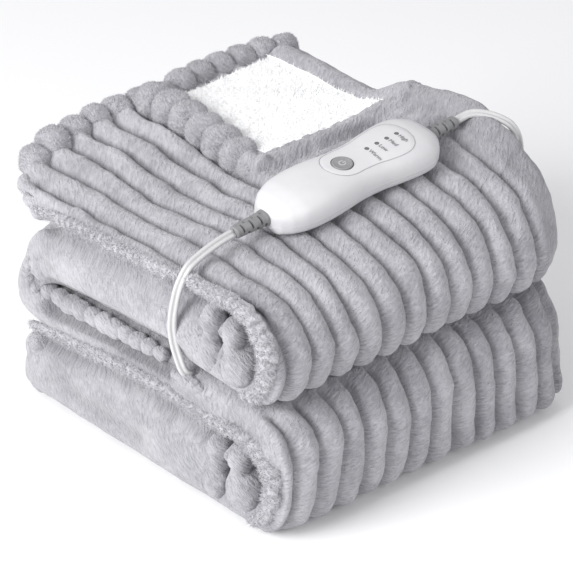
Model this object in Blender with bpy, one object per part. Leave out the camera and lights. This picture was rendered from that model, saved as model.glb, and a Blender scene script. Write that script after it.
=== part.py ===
"""Electric heated blanket, folded for storage, with its hand controller and leads.

The blanket is one long cloth, folded back and forth in a section that lies in the XZ plane and runs
along Y.  Its ribs go round the folds and repeat along Y.  The controller lies along Y on the top.
Sizes are in millimetres and are turned into metres when a mesh is made.  +Z is up, the camera side of
the folded ends is -Y, and the ribbed folds are at +X.
"""
import math

import bmesh
import bpy
from mathutils import Matrix, Vector

MM = 0.001
GAP = 0.3                      # clearance between pieces that touch

# ---------------------------------------------------------------- driving sizes
CLOTH_HALF_LENGTH = 131.0      # half of the folded blanket along Y
END_ROUND = 10.0               # how far the folded ends round over, along Y
RIB_COUNT = 12
RIB_STATIONS = 4               # mesh stations in one rib
RIB_DEPTH = 4.5
HEM_SCALLOP_DEPTH = 2.6
RELIEF_FADE = 14.0             # length over which ribs die out towards plain cloth
STACK_SPLIT = 100.0            # height of the crease between the two bundles
TOP_HEIGHT = 173.0             # top cloth at the near end
FLARE_LEFT = 0.02              # the left folds widen a little towards the far end
TOP_PLY_FOOT = 155.0           # underside of the top cloth at the near end
FAR_TUCK, FAR_TUCK_LENGTH = 0.055, 32.0    # the last ribs draw in at the far end

# turned-back corner of the top cloth and the fleece that it uncovers
CORNER_Y = -8.0                # scalloped hem of the turned-back corner runs along X here
CORNER_X = -20.0               # its plain hem runs along Y here, leaning to -X
CORNER_LEAN = -0.06
ROLL_HALF, ROLL_HEIGHT, ROLL_PITCH = 11.0, 15.0, 16.5
BAND_HALF, BAND_HEIGHT = 9.0, 8.0
FLAP_HEIGHT, FLAP_EDGE = 5.0, 0.12
FLAP_ACROSS, FLAP_ALONG = 114.0, 143.0     # legs of the turned-back triangle
BACK_HEM_HALF, BACK_HEM_HEIGHT = 9.0, 6.0

CASE_LENGTH = 145.0
CASE_PARTING = 8.0             # height of the seam between the two shells
CASE_SQUARE = 3.2              # superellipse power of the case's cross-section
CASE_CENTRE = Vector((50.2, 7.2, 183.15))   # middle of the case's underside
CASE_YAW = math.radians(-2.9)
CASE_TILT = math.radians(3.7)
CASE_ROLL = math.radians(7.0)
PANEL_THICK = 1.0
BUTTON_X, BUTTON_Y = 1.5, -7.5
BUTTON_RADIUS, BUTTON_PROUD, BUTTON_DEPTH = 7.2, 0.8, 3.0
BUTTON_TRAVEL = 0.8
LAMP_YS = (16.5, 25.5, 34.4, 43.3)
LAMP_X, LAMP_RADIUS = -0.8, 1.7
RELIEF_Z = 10.5                # height of the two lead exits above the case's underside
RELIEF_LENGTH, RELIEF_SEAT = 26.0, 5.0
RELIEF_ROOT, RELIEF_TIP = 5.6, 4.0
RELIEF_FLAT = 0.8

LEAD_RADIUS = 2.5
COIL_CENTRE = Vector((5.0, 197.0, 0.0))
COIL_MEAN_RADIUS = 33.0
COIL_WIDE, COIL_HIGH, COIL_FOOT = 13.0, 17.0, 1.8
TIE_WIDE, TIE_THICK = 6.0, 1.2

# ---------------------------------------------------------------- folded section
# One closed outline at the near end, in order round the cloth.  relief says which surface it is:
# top, rib, hem, still or plain.  step is the spacing of the mesh rows, soft how far the edge rounds in.
SECTION = [
    dict(run="lower ply hem", relief="hem", step=6, soft=2.5,
         at=[(-107, 155), (-114, 156), (-118, 160), (-114, 164)]),
    dict(run="ply notch", relief="still", step=6, soft=0.5,
         at=[(-105, 165.2)]),
    dict(run="top ply hem", relief="hem", step=6, soft=2.5,
         at=[(-113, 166), (-118, 169), (-113, 172.6)]),
    dict(run="top, left", relief="top", step=5.8, soft=6,
         at=[(-104, 173), (-60, 172.5), (-14, 172.5)]),
    dict(run="top, right", relief="top", step=10, soft=6,
         at=[(30, 173), (70, 172.5)]),
    dict(run="upper fold", relief="rib", step=13, soft=7,
         at=[(95, 169.5), (112, 162), (124, 149), (130, 134), (128, 118), (119, 105), (105, 100.5)]),
    dict(run="upper underside", relief="plain", step=24, soft=4,
         at=[(85, 99), (60, 99), (20, 98.5), (-25, 98.5), (-65, 98.5), (-92, 98)]),
    dict(run="left crease", relief="plain", step=5, soft=1,
         at=[(-106, 97.5), (-110, 96), (-106, 94.5)]),
    dict(run="lower top", relief="plain", step=24, soft=6,
         at=[(-90, 94), (-40, 94), (10, 94), (50, 94.5), (88, 95.5)]),
    dict(run="lower fold", relief="rib", step=13, soft=7,
         at=[(106, 96.5), (120, 93), (132, 83), (138, 66), (138, 46), (135, 28), (128, 13), (117, 3.5)]),
    dict(run="underside", relief="base", step=30, soft=5,
         at=[(104, 0), (40, 0), (-40, 0), (-118, 0)]),
    dict(run="lower hem", relief="hem", step=11, soft=6,
         at=[(-128, 2), (-134, 8), (-135, 20), (-132.5, 32), (-132, 44), (-124, 54)]),
    dict(run="lower pad top", relief="plain", step=26, soft=11,
         at=[(-108, 56.5), (-40, 56.5), (20, 56.5), (54, 56)]),
    dict(run="lower swirl", relief="plain", step=12, soft=4,
         at=[(63, 53), (66, 42), (64, 30), (67, 19), (71, 14), (75, 18), (73, 28), (77, 37),
             (71, 47), (80, 57.5), (89, 50), (92, 42), (104, 31), (109, 20), (113, 28), (116, 42),
             (112, 55), (103, 61.5)]),
    dict(run="lower top, inside", relief="plain", step=28, soft=6,
         at=[(88, 63), (50, 62), (0, 60.5), (-50, 60), (-98, 60.5)]),
    dict(run="left fold", relief="rib", step=13, soft=7,
         at=[(-114, 62), (-128, 67), (-136.5, 79), (-137.5, 94), (-131, 110), (-120, 131),
             (-103, 147.5)]),
    dict(run="upper pad top", relief="plain", step=26, soft=11,
         at=[(-84, 151), (-30, 151), (20, 151), (49, 150.5)]),
    dict(run="upper swirl", relief="plain", step=12, soft=4,
         at=[(58, 147), (61, 138), (60, 126), (63, 114), (67, 110), (70, 115), (69, 123), (73, 132),
             (68, 141), (77, 151), (86, 143), (89, 136), (97, 126), (101, 116), (105, 122),
             (108, 134), (103, 146), (93, 153.5)]),
    dict(run="top, inside", relief="plain", step=28, soft=5,
         at=[(78, 155), (30, 155), (-30, 155), (-90, 155)]),
]

# How much wider the folds are at the far end, by height.
FLARE_RIGHT = [
    dict(z=0, flare=0.24), dict(z=12, flare=0.22), dict(z=30, flare=0.13), dict(z=50, flare=0.09),
    dict(z=70, flare=0.075), dict(z=84, flare=0.055), dict(z=100, flare=0.16), dict(z=118, flare=0.12),
    dict(z=140, flare=0.09), dict(z=175, flare=0.09),
]
# Reach of the top cloth's left hem, and the rise of the top at four places across, along Y.
LEFT_REACH = [
    dict(y=-131, reach=121), dict(y=-112, reach=141), dict(y=-88, reach=147), dict(y=-36, reach=145),
    dict(y=0, reach=141), dict(y=104, reach=141), dict(y=131, reach=137),
]
TOP_RISE = [
    dict(y=-131, left=4, middle=0, ridge=0, shoulder=0),
    dict(y=-88, left=16, middle=2, ridge=3, shoulder=1),
    dict(y=-55, left=22, middle=4, ridge=5, shoulder=2),
    dict(y=-20, left=26, middle=7, ridge=7.5, shoulder=4),
    dict(y=10, left=21, middle=9, ridge=9.5, shoulder=6),
    dict(y=80, left=20, middle=12, ridge=14, shoulder=10),
    dict(y=106, left=20, middle=15, ridge=23, shoulder=14),
    dict(y=121, left=20, middle=20, ridge=31, shoulder=18),
    dict(y=131, left=20, middle=21, ridge=33, shoulder=18),
]
RISE_PLACES = [(-105.0, "left"), (-30.0, "middle"), (50.0, "ridge"), (112.0, "shoulder")]

# Half width of the case and height of its crown, at parts of its half length.
CASE_SHAPE = [
    dict(t=-1.00, half=8.0, crown=15.5), dict(t=-0.96, half=13.5, crown=18.0),
    dict(t=-0.88, half=18.5, crown=21.0), dict(t=-0.74, half=22.4, crown=23.6),
    dict(t=-0.52, half=23.6, crown=24.8), dict(t=-0.30, half=22.6, crown=24.8),
    dict(t=-0.05, half=20.6, crown=24.2), dict(t=0.20, half=21.0, crown=24.0),
    dict(t=0.42, half=23.4, crown=24.4), dict(t=0.62, half=24.8, crown=24.2),
    dict(t=0.78, half=23.8, crown=23.2), dict(t=0.90, half=19.2, crown=21.0),
    dict(t=0.97, half=13.5, crown=18.0), dict(t=1.00, half=8.0, crown=15.5),
]
PANEL_SHAPE = [
    dict(y=-21.5, half=1.5), dict(y=-20.2, half=6.0), dict(y=-17.2, half=10.0),
    dict(y=-12.8, half=12.8), dict(y=-6.0, half=14.0), dict(y=3.0, half=13.8),
    dict(y=14.0, half=14.4), dict(y=25.0, half=16.4), dict(y=34.0, half=17.4),
    dict(y=41.0, half=16.8), dict(y=46.5, half=13.6), dict(y=50.0, half=8.0),
    dict(y=51.5, half=1.5),
]

# Route points of the leads.
BLANKET_LEAD_ROUTE = [
    (46.5, -92.0, 187.15), (45.9, -101, 185.9), (45.2, -111, 183.4), (44.8, -120.5, 180.4),
    (44.8, -129.4, 176.6), (44.4, -135.0, 169.5), (42.4, -137.0, 161), (39.4, -137.4, 149),
    (37.2, -137.4, 137), (37.0, -137.2, 127), (38.2, -136.6, 118), (40.8, -136.0, 109.5),
    (43.6, -135.4, 102.6), (45.6, -133.4, 98.4), (47.0, -130.2, 96.8),
]
MAINS_LEAD_ROUTE = [
    (56.5, 105.5, 200.05), (57.0, 110.6, 201.1), (59.8, 117.0, 202.9), (66.2, 123.4, 202.6),
    (74.6, 129.4, 200.2), (81.4, 134.8, 194.8), (84.8, 138.4, 184), (85.8, 139.6, 166),
    (85.6, 140.4, 135), (84.6, 142.0, 102), (82.6, 143.6, 72), (79.0, 146.2, 46),
    (73.0, 149.0, 26), (62.5, 151.6, 11.5), (49, 153, 4.6), (34, 154.6, 2.8), (18, 154.9, 2.8),
    (5, 154.9, 2.8),
]
PLUG_TAIL_ROUTE = [
    (-2, 155.25, 14.8), (-12, 155.0, 14.6), (-22, 155.4, 13.4), (-31, 157, 10.9), (-39, 159.6, 9.0),
    (-47, 162.6, 8.4),
]
PLUG_DIRECTION = Vector((-0.936, 0.352, 0.0))
PLUG_LENGTH, PLUG_NECK = 30.0, 22.0
PLUG_HALF_WIDE, PLUG_HALF_HIGH = 13.0, 8.2
BLADE_LENGTH, BLADE_WIDE, BLADE_THICK, BLADE_SPREAD = 17.0, 6.3, 1.5, 6.35


# ---------------------------------------------------------------- small helpers
def clear_scene():
    for item in list(bpy.data.objects):
        bpy.data.objects.remove(item, do_unlink=True)


def new_collection(name):
    collection = bpy.data.collections.new(name)
    bpy.context.scene.collection.children.link(collection)
    return collection


def material(name, colour, roughness, metallic=0.0):
    finish = bpy.data.materials.new(name)
    finish.use_nodes = True
    shader = finish.node_tree.nodes["Principled BSDF"]
    shader.inputs["Base Color"].default_value = (*colour, 1.0)
    shader.inputs["Roughness"].default_value = roughness
    shader.inputs["Metallic"].default_value = metallic
    return finish


def clamp(value, low=0.0, high=1.0):
    return max(low, min(high, value))


def smooth(value):
    """Ramp from 0 to 1 with level ends."""
    value = clamp(value)
    return value * value * (3 - 2 * value)


def table_value(table, key, value, column):
    """Smooth value of a column of a table, at a place along its key column."""
    keys = [row[key] for row in table]
    if value <= keys[0]:
        return table[0][column]
    if value >= keys[-1]:
        return table[-1][column]
    i = max(k for k in range(len(keys) - 1) if keys[k] <= value)
    u = (value - keys[i]) / (keys[i + 1] - keys[i])
    p = [table[clamp_index(k, len(table))][column] for k in (i - 1, i, i + 1, i + 2)]
    return catmull(p[0], p[1], p[2], p[3], u)


def clamp_index(index, count):
    return max(0, min(count - 1, index))


def catmull(a, b, c, d, u):
    return 0.5 * (2 * b + (c - a) * u + (2 * a - 5 * b + 4 * c - d) * u * u
                  + (3 * b - a - 3 * c + d) * u * u * u)


def mesh_object(name, mesh_bm, finish, collection, smooth=True):
    """Make an object of a bmesh whose points are in millimetres."""
    bmesh.ops.recalc_face_normals(mesh_bm, faces=mesh_bm.faces)
    bmesh.ops.scale(mesh_bm, vec=(MM, MM, MM), verts=mesh_bm.verts)
    mesh = bpy.data.meshes.new(name)
    mesh_bm.to_mesh(mesh)
    mesh_bm.free()
    if smooth:
        mesh.shade_smooth()
        mesh.set_sharp_from_angle(angle=math.radians(40))
    made = bpy.data.objects.new(name, mesh)
    made.data.materials.append(finish)
    collection.objects.link(made)
    return made


def loft(rings):
    """Closed body through rings of points with equal counts, with flat caps."""
    body = bmesh.new()
    loops = [[body.verts.new(point) for point in ring] for ring in rings]
    count = len(loops[0])
    for first, second in zip(loops, loops[1:]):
        for i in range(count):
            j = (i + 1) % count
            body.faces.new((first[i], first[j], second[j], second[i]))
    body.faces.new(loops[0])
    body.faces.new(loops[-1])
    return body


def cut(target, cutter):
    """Take the cutter away from the target, and apply the cut."""
    boolean = target.modifiers.new("cut", "BOOLEAN")
    boolean.operation = "DIFFERENCE"
    boolean.solver = "EXACT"
    boolean.object = cutter
    depsgraph = bpy.context.evaluated_depsgraph_get()
    mesh = bpy.data.meshes.new_from_object(target.evaluated_get(depsgraph))
    target.modifiers.clear()
    target.data = mesh


def mark_cutter(cutter):
    cutter.hide_render = True
    cutter.display_type = "WIRE"


# ---------------------------------------------------------------- folded cloth
def section_rows():
    """Rows round the section: place, surface and softness, with round stretches smoothed."""
    knots = [(x, z, run) for run in SECTION for x, z in run["at"]]
    rows = []
    for i, (x, z, run) in enumerate(knots):
        a, c, d = knots[i - 1], knots[(i + 1) % len(knots)], knots[(i + 2) % len(knots)]
        length = math.hypot(c[0] - x, c[1] - z)
        steps = max(1, round(length / run["step"]))
        for k in range(steps):
            u = k / steps
            rows.append(dict(
                x=catmull(a[0], x, c[0], d[0], u), z=max(0.0, catmull(a[1], z, c[1], d[1], u)),
                relief=run["relief"], soft=run["soft"] * (1 - u) + c[2]["soft"] * u,
            ))
    for i, row in enumerate(rows):
        before, after = rows[i - 1], rows[(i + 1) % len(rows)]
        dx, dz = after["x"] - before["x"], after["z"] - before["z"]
        size = math.hypot(dx, dz)
        row["out"] = (-dz / size, dx / size)
    fade_relief(rows)
    return rows


def fade_relief(rows):
    """Give each row the share of its ribs that is left near the plain cloth."""
    count = len(rows)
    for i, row in enumerate(rows):
        row["share"] = 1.0
        for turn in (-1, 1):
            far, k = 0.0, i
            while far < RELIEF_FADE and rows[k]["relief"] not in ("plain", "base"):
                after = rows[(k + turn) % count]
                far += math.hypot(after["x"] - rows[k]["x"], after["z"] - rows[k]["z"])
                k = (k + turn) % count
            row["share"] *= smooth(far / RELIEF_FADE)


def rib_height(y):
    """Depth below the crest of the ribs, zero on a crest and -1 in a stitched valley."""
    pitch = 2 * (CLOTH_HALF_LENGTH - END_ROUND) / RIB_COUNT
    turn = (y + CLOTH_HALF_LENGTH - END_ROUND) / pitch
    return abs(math.sin(math.pi * turn)) ** 0.6 - 1


def hump(distance, half):
    return max(0.0, 1 - (distance / half) ** 2)


def in_window(x, y):
    """Whether the place lies on the uncovered fleece, behind the turned-back corner."""
    return y > CORNER_Y and x < CORNER_X + CORNER_LEAN * (y - CORNER_Y)


def top_rise(x, y, z):
    """How much higher the cloth stands here than at the near end."""
    places = RISE_PLACES
    rises = [table_value(TOP_RISE, "y", y, name) for _, name in places]
    rise = rises[-1]
    if x <= places[0][0]:
        rise = rises[0]
    for i in range(len(places) - 1):
        if places[i][0] < x <= places[i + 1][0]:
            u = smooth((x - places[i][0]) / (places[i + 1][0] - places[i][0]))
            rise = rises[i] * (1 - u) + rises[i + 1] * u
    if x > 0:
        return rise * clamp((z - STACK_SPLIT) / (TOP_HEIGHT - STACK_SPLIT)) ** 1.5
    return rise * clamp((z - TOP_PLY_FOOT) / (TOP_HEIGHT - TOP_PLY_FOOT))


def top_relief(x, y):
    """Height of ribs, hems and the turned-back corner over the plain top."""
    band_x = CORNER_X + CORNER_LEAN * (y - CORNER_Y)
    if in_window(x, y):
        across = (CORNER_X - x) / FLAP_ACROSS + (y - CORNER_Y) / FLAP_ALONG
        height = FLAP_HEIGHT * smooth((1 + FLAP_EDGE - across) / (2 * FLAP_EDGE))
    else:
        height = RIB_DEPTH * rib_height(y)
    scallop = 0.72 + 0.28 * abs(math.sin(math.pi * (x - CORNER_X) / ROLL_PITCH))
    scallop *= 1 - 0.4 * clamp((-x - 60) / 70)
    back_y = CLOTH_HALF_LENGTH - END_ROUND - BACK_HEM_HALF
    hems = [
        (x < CORNER_X + ROLL_HALF, ROLL_HEIGHT * scallop * hump(y - CORNER_Y, ROLL_HALF)),
        (y > CORNER_Y, BAND_HEIGHT * hump(x - band_x, BAND_HALF)),
        (x < CORNER_X, BACK_HEM_HEIGHT * hump(y - back_y, BACK_HEM_HALF)),
    ]
    for here, hem in hems:
        if here and hem > 0:
            height = max(height, hem)
    return height


def shaped(row, y, inset):
    """Place of a section row at a station along Y."""
    x, z = row["x"], row["z"]
    out_x, out_z = row["out"]
    push = 0.0
    if row["relief"] == "rib":
        push = RIB_DEPTH * rib_height(y) * row["share"]
    elif row["relief"] == "hem":
        push = HEM_SCALLOP_DEPTH * rib_height(y) * row["share"]
    push -= inset * row["soft"]
    x += out_x * push
    z = max(0.0, z + out_z * push) if row["relief"] != "base" else z + inset * row["soft"]
    share = clamp((y + CLOTH_HALF_LENGTH) / (2 * CLOTH_HALF_LENGTH))
    if x > 0:
        tuck = FAR_TUCK * smooth(1 - (CLOTH_HALF_LENGTH - y) / FAR_TUCK_LENGTH)
        x *= 1 + share * table_value(FLARE_RIGHT, "z", z, "flare") - tuck
    elif z > TOP_PLY_FOOT - 1 and row["relief"] != "rib":
        outward = clamp((-x - 60) / 58)
        x *= 1 + (table_value(LEFT_REACH, "y", y, "reach") / 118 - 1) * outward
    else:
        x *= 1 + share * FLARE_LEFT
    if row["relief"] == "top":
        z += top_relief(x, y) * (1 - inset)
    return x, z + top_rise(x, y, z)


def cloth_stations():
    """Stations along Y with how far the section has drawn in there."""
    straight = CLOTH_HALF_LENGTH - END_ROUND
    count = RIB_COUNT * RIB_STATIONS
    middle = [(-straight + 2 * straight * k / count, 0.0) for k in range(count + 1)]
    turn = math.radians(50)
    bend = (straight + END_ROUND * math.sin(turn), 1 - math.cos(turn))
    end = (CLOTH_HALF_LENGTH, 1.0)
    return [(-end[0], 1.0), (-bend[0], bend[1]), *middle, bend, end]


def row_stations(row, count):
    """Numbers of the stations that a row uses: all where the cloth is ribbed, few inside."""
    if row["relief"] in ("plain", "base"):
        inner = range(2, count - 2, 2 * RIB_STATIONS)
        return [0, 1, *inner, count - 2, count - 1]
    return list(range(count))


def bridge(body, first, second):
    """Faces between two rows whose stations may differ in number."""
    i = j = 0
    while i < len(first) - 1 or j < len(second) - 1:
        at_first = first[i + 1][0] if i < len(first) - 1 else math.inf
        at_second = second[j + 1][0] if j < len(second) - 1 else math.inf
        if at_first == at_second:
            body.faces.new((first[i][1], first[i + 1][1], second[j + 1][1], second[j][1]))
            i, j = i + 1, j + 1
        elif at_first < at_second:
            body.faces.new((first[i][1], first[i + 1][1], second[j][1]))
            i += 1
        else:
            body.faces.new((first[i][1], second[j + 1][1], second[j][1]))
            j += 1


def make_cloth(finish, collection):
    stations = cloth_stations()
    body = bmesh.new()
    lines = []
    for row in section_rows():
        line = []
        for number in row_stations(row, len(stations)):
            y, inset = stations[number]
            x, z = shaped(row, y, inset)
            line.append((number, body.verts.new((x, y, z))))
        lines.append(line)
    for i, line in enumerate(lines):
        bridge(body, lines[i - 1], line)
    for end in (0, -1):
        body.faces.new([line[end][1] for line in lines])
    body.normal_update()
    bmesh.ops.triangulate(body, faces=body.faces, ngon_method="EAR_CLIP")
    return mesh_object("blanket_cloth", body, finish, collection)


# ---------------------------------------------------------------- controller
def case_place():
    """Where the controller lies: turned about Z, tilted up to the far end and rolled to +X."""
    turn = (Matrix.Rotation(CASE_YAW, 4, "Z") @ Matrix.Rotation(CASE_TILT, 4, "X")
            @ Matrix.Rotation(CASE_ROLL, 4, "Y"))
    return Matrix.Translation(CASE_CENTRE * MM) @ turn


def crown(x, y):
    """Height of the case's top face over its underside."""
    t = y / (CASE_LENGTH / 2)
    half = table_value(CASE_SHAPE, "t", t, "half")
    top = table_value(CASE_SHAPE, "t", t, "crown")
    across = clamp(abs(x) / half) ** CASE_SQUARE
    return CASE_PARTING + (top - CASE_PARTING) * (1 - across) ** (1 / CASE_SQUARE)


def shell_rings(upper, steps=12):
    rings = []
    for row in CASE_SHAPE:
        ring = []
        for k in range(steps + 1):
            angle = math.pi * k / steps
            x = row["half"] * math.copysign(abs(math.cos(angle)) ** (2 / CASE_SQUARE), math.cos(angle))
            rise = math.sin(angle) ** (2 / CASE_SQUARE)
            if upper:
                z = CASE_PARTING + GAP / 2 + (row["crown"] - CASE_PARTING) * rise
            else:
                foot = CASE_PARTING * clamp((row["half"] - 3) / 10)
                z = CASE_PARTING - GAP / 2 - (foot - GAP / 2) * rise
            ring.append(Vector((x, row["t"] * CASE_LENGTH / 2, z)))
        rings.append(ring)
    return rings


def plate_rings(grow, low, high):
    """Rings of a plate on the case's crown, over the panel's outline."""
    rings = []
    middle = 0.5 * (PANEL_SHAPE[0]["y"] + PANEL_SHAPE[-1]["y"])
    for row in PANEL_SHAPE:
        y = row["y"] + math.copysign(grow, row["y"] - middle)
        half = row["half"] + grow
        xs = [half * (k / 3 - 1) for k in range(7)]
        ring = [Vector((x, y, crown(x, y) + high)) for x in xs]
        ring += [Vector((x, y, crown(x, y) + low)) for x in reversed(xs)]
        rings.append(ring)
    return rings


def cylinder_cutter(name, place, centre, radius, low, high, collection, axis="Z", flat=1.0):
    body = bmesh.new()
    bmesh.ops.create_cone(body, cap_ends=True, segments=24, radius1=radius, radius2=radius,
                          depth=high - low)
    bmesh.ops.translate(body, vec=(0, 0, (high + low) / 2), verts=body.verts)
    if axis == "Y":
        bmesh.ops.rotate(body, matrix=Matrix.Rotation(math.radians(-90), 3, "X"), verts=body.verts)
        bmesh.ops.scale(body, vec=(1, 1, flat), verts=body.verts)
    bmesh.ops.translate(body, vec=centre, verts=body.verts)
    cutter = mesh_object(name, body, None, collection, smooth=False)
    cutter.matrix_world = place
    mark_cutter(cutter)
    return cutter


def make_case(collection, cutters, place, finishes):
    upper = mesh_object("case_upper", loft(shell_rings(True)), finishes["case"], collection)
    lower = mesh_object("case_lower", loft(shell_rings(False)), finishes["case"], collection)
    panel = mesh_object("case_panel", loft(plate_rings(0, -PANEL_THICK, 0.1)), finishes["case"],
                        collection)
    recess = mesh_object("cutter_recess", loft(plate_rings(GAP, -PANEL_THICK - GAP, 4)), None,
                         cutters, smooth=False)
    mark_cutter(recess)
    for piece in (upper, lower, panel, recess):
        piece.matrix_world = place
    bpy.context.view_layer.update()
    cut(upper, recess)
    button_top = crown(BUTTON_X, BUTTON_Y)
    pocket = cylinder_cutter("cutter_button", place, (BUTTON_X, BUTTON_Y, 0), BUTTON_RADIUS + GAP,
                             button_top - BUTTON_DEPTH - BUTTON_TRAVEL - GAP, button_top + 6, cutters)
    lamp_holes = [cylinder_cutter(f"cutter_lamp_{n}", place, (LAMP_X, y, 0), LAMP_RADIUS + GAP,
                                  crown(LAMP_X, y) - 4, crown(LAMP_X, y) + 4, cutters)
                  for n, y in enumerate(LAMP_YS, 1)]
    ends = []
    for side, name in ((-1, "near"), (1, "far")):
        face = side * CASE_LENGTH / 2
        low, high = sorted((face - side * (RELIEF_SEAT + GAP), face + side * 10))
        ends.append(cylinder_cutter(f"cutter_{name}_exit", place, (0, 0, RELIEF_Z), RELIEF_ROOT + GAP,
                                    low, high, cutters, axis="Y", flat=RELIEF_FLAT))
    bpy.context.view_layer.update()
    for piece in (upper, panel):
        cut(piece, pocket)
    for hole in lamp_holes:
        cut(panel, hole)
    for hole in ends:
        cut(upper, hole)
        cut(lower, hole)
    make_button(collection, place, finishes["button"])
    for n, y in enumerate(LAMP_YS, 1):
        make_lamp(f"lamp_{n}", y, collection, place, finishes["lamp"])
    for side, name in ((-1, "near"), (1, "far")):
        make_relief(f"strain_relief_{name}", side, collection, place, finishes["relief"])


def disc_rings(centre_x, centre_y, levels, segments=24):
    return [[Vector((centre_x + radius * math.cos(2 * math.pi * k / segments),
                     centre_y + radius * math.sin(2 * math.pi * k / segments), z))
             for k in range(segments)] for radius, z in levels]


def make_button(collection, place, finish):
    top = crown(BUTTON_X, BUTTON_Y)
    levels = [(BUTTON_RADIUS, top - BUTTON_DEPTH), (BUTTON_RADIUS, top + 0.2),
              (BUTTON_RADIUS - 0.5, top + BUTTON_PROUD - 0.1), (BUTTON_RADIUS - 1.4, top + BUTTON_PROUD)]
    button = mesh_object("power_button", loft(disc_rings(BUTTON_X, BUTTON_Y, levels)), finish, collection)
    button.matrix_world = place


def make_lamp(name, y, collection, place, finish):
    top = crown(LAMP_X, y)
    levels = [(LAMP_RADIUS, top - PANEL_THICK), (LAMP_RADIUS, top), (LAMP_RADIUS - 0.5, top + 0.25)]
    lamp = mesh_object(name, loft(disc_rings(LAMP_X, y, levels, 12)), finish, collection)
    lamp.matrix_world = place


def make_relief(name, side, collection, place, finish):
    """Tapered lead exit with four grooves round it."""
    total = RELIEF_SEAT + RELIEF_LENGTH
    profile = [(0.0, RELIEF_ROOT)]
    for k in range(4):
        start = RELIEF_SEAT + 4.0 + 5.0 * k
        radius = RELIEF_ROOT + (RELIEF_TIP - RELIEF_ROOT) * start / total
        profile += [(start, radius), (start + 0.3, radius - 1.1), (start + 1.5, radius - 1.2),
                    (start + 1.8, radius - 0.1)]
    profile.append((total - 0.8, RELIEF_TIP))
    profile.append((total, RELIEF_TIP - 0.7))
    start_y = side * (CASE_LENGTH / 2 - RELIEF_SEAT)
    segments = 16
    rings = [[Vector((radius * math.cos(2 * math.pi * k / segments), start_y + side * along,
                      RELIEF_Z + RELIEF_FLAT * radius * math.sin(2 * math.pi * k / segments)))
              for k in range(segments)] for along, radius in profile]
    relief = mesh_object(name, loft(rings), finish, collection)
    relief.matrix_world = place


# ---------------------------------------------------------------- leads
def smooth_route(points, spacing):
    """Even points on a smooth curve through the route's own points."""
    knots = [Vector(point) for point in points]
    fine = []
    for i in range(len(knots) - 1):
        a, b, c, d = (knots[clamp_index(k, len(knots))] for k in (i - 1, i, i + 1, i + 2))
        fine += [catmull(a, b, c, d, k / 12) for k in range(12)]
    fine.append(knots[-1])
    lengths = [0.0]
    for first, second in zip(fine, fine[1:]):
        lengths.append(lengths[-1] + (second - first).length)
    count = max(2, round(lengths[-1] / spacing))
    even, at = [], 0
    for k in range(count + 1):
        want = lengths[-1] * k / count
        while at < len(fine) - 2 and lengths[at + 1] < want:
            at += 1
        share = (want - lengths[at]) / (lengths[at + 1] - lengths[at])
        even.append(fine[at].lerp(fine[at + 1], clamp(share)))
    return even


def make_lead(name, route, collection, finish):
    curve = bpy.data.curves.new(name, "CURVE")
    curve.dimensions = "3D"
    curve.bevel_depth = LEAD_RADIUS * MM
    curve.bevel_resolution = 2
    curve.use_fill_caps = True
    points = smooth_route(route, 2.5 * 2 * LEAD_RADIUS)
    spline = curve.splines.new("POLY")
    spline.points.add(len(points) - 1)
    for knot, point in zip(spline.points, points):
        knot.co = (*(point * MM), 1)
    lead = bpy.data.objects.new(name, curve)
    lead.data.materials.append(finish)
    collection.objects.link(lead)


def make_coil(collection, finish):
    """Outer shape of the wound lead: a ring turned about Z."""
    round_off = 2.5
    half, low, high = COIL_WIDE / 2, COIL_FOOT, COIL_FOOT + COIL_HIGH
    profile = [(half, low + round_off), (half, high - round_off), (half - round_off, high),
               (round_off - half, high), (-half, high - round_off), (-half, low + round_off),
               (round_off - half, low), (half - round_off, low)]
    body = bmesh.new()
    verts = [body.verts.new((COIL_MEAN_RADIUS + r, 0, z)) for r, z in profile]
    edges = [body.edges.new((verts[k - 1], verts[k])) for k in range(len(verts))]
    bmesh.ops.spin(body, geom=verts + edges, axis=(0, 0, 1), cent=(0, 0, 0), steps=28,
                   angle=2 * math.pi, use_merge=True)
    bmesh.ops.remove_doubles(body, verts=body.verts, dist=0.01)
    coil = mesh_object("mains_coil", body, finish, collection)
    coil.location = COIL_CENTRE * MM


def make_tie(collection, finish):
    """Strap round the far side of the coil, a closed flat loop."""
    inner_wide, inner_high = COIL_WIDE / 2 + 2 * GAP, COIL_HIGH / 2 + GAP
    rings = []
    for x in (-TIE_WIDE / 2, TIE_WIDE / 2):
        for grow in (0.0, TIE_THICK):
            rings.append([Vector((x, sy * (inner_wide + grow), sz * (inner_high + grow)))
                          for sy, sz in ((-1, -1), (1, -1), (1, 1), (-1, 1))])
    near_in, near_out, far_in, far_out = rings
    body = bmesh.new()
    order = [near_in, near_out, far_out, far_in]
    loops = [[body.verts.new(point) for point in ring] for ring in order]
    for k, loop in enumerate(loops):
        after = loops[(k + 1) % 4]
        for i in range(4):
            j = (i + 1) % 4
            body.faces.new((loop[i], loop[j], after[j], after[i]))
    tie = mesh_object("coil_tie", body, finish, collection, smooth=False)
    middle = COIL_FOOT + COIL_HIGH / 2
    tie.location = (COIL_CENTRE + Vector((0, COIL_MEAN_RADIUS, middle))) * MM


def plug_place():
    start = Vector(PLUG_TAIL_ROUTE[-1])
    x_axis = PLUG_DIRECTION.normalized()
    y_axis = Vector((0, 0, 1)).cross(x_axis)
    turn = Matrix((x_axis, y_axis, Vector((0, 0, 1)))).transposed().to_4x4()
    return Matrix.Translation(start * MM) @ turn


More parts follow.
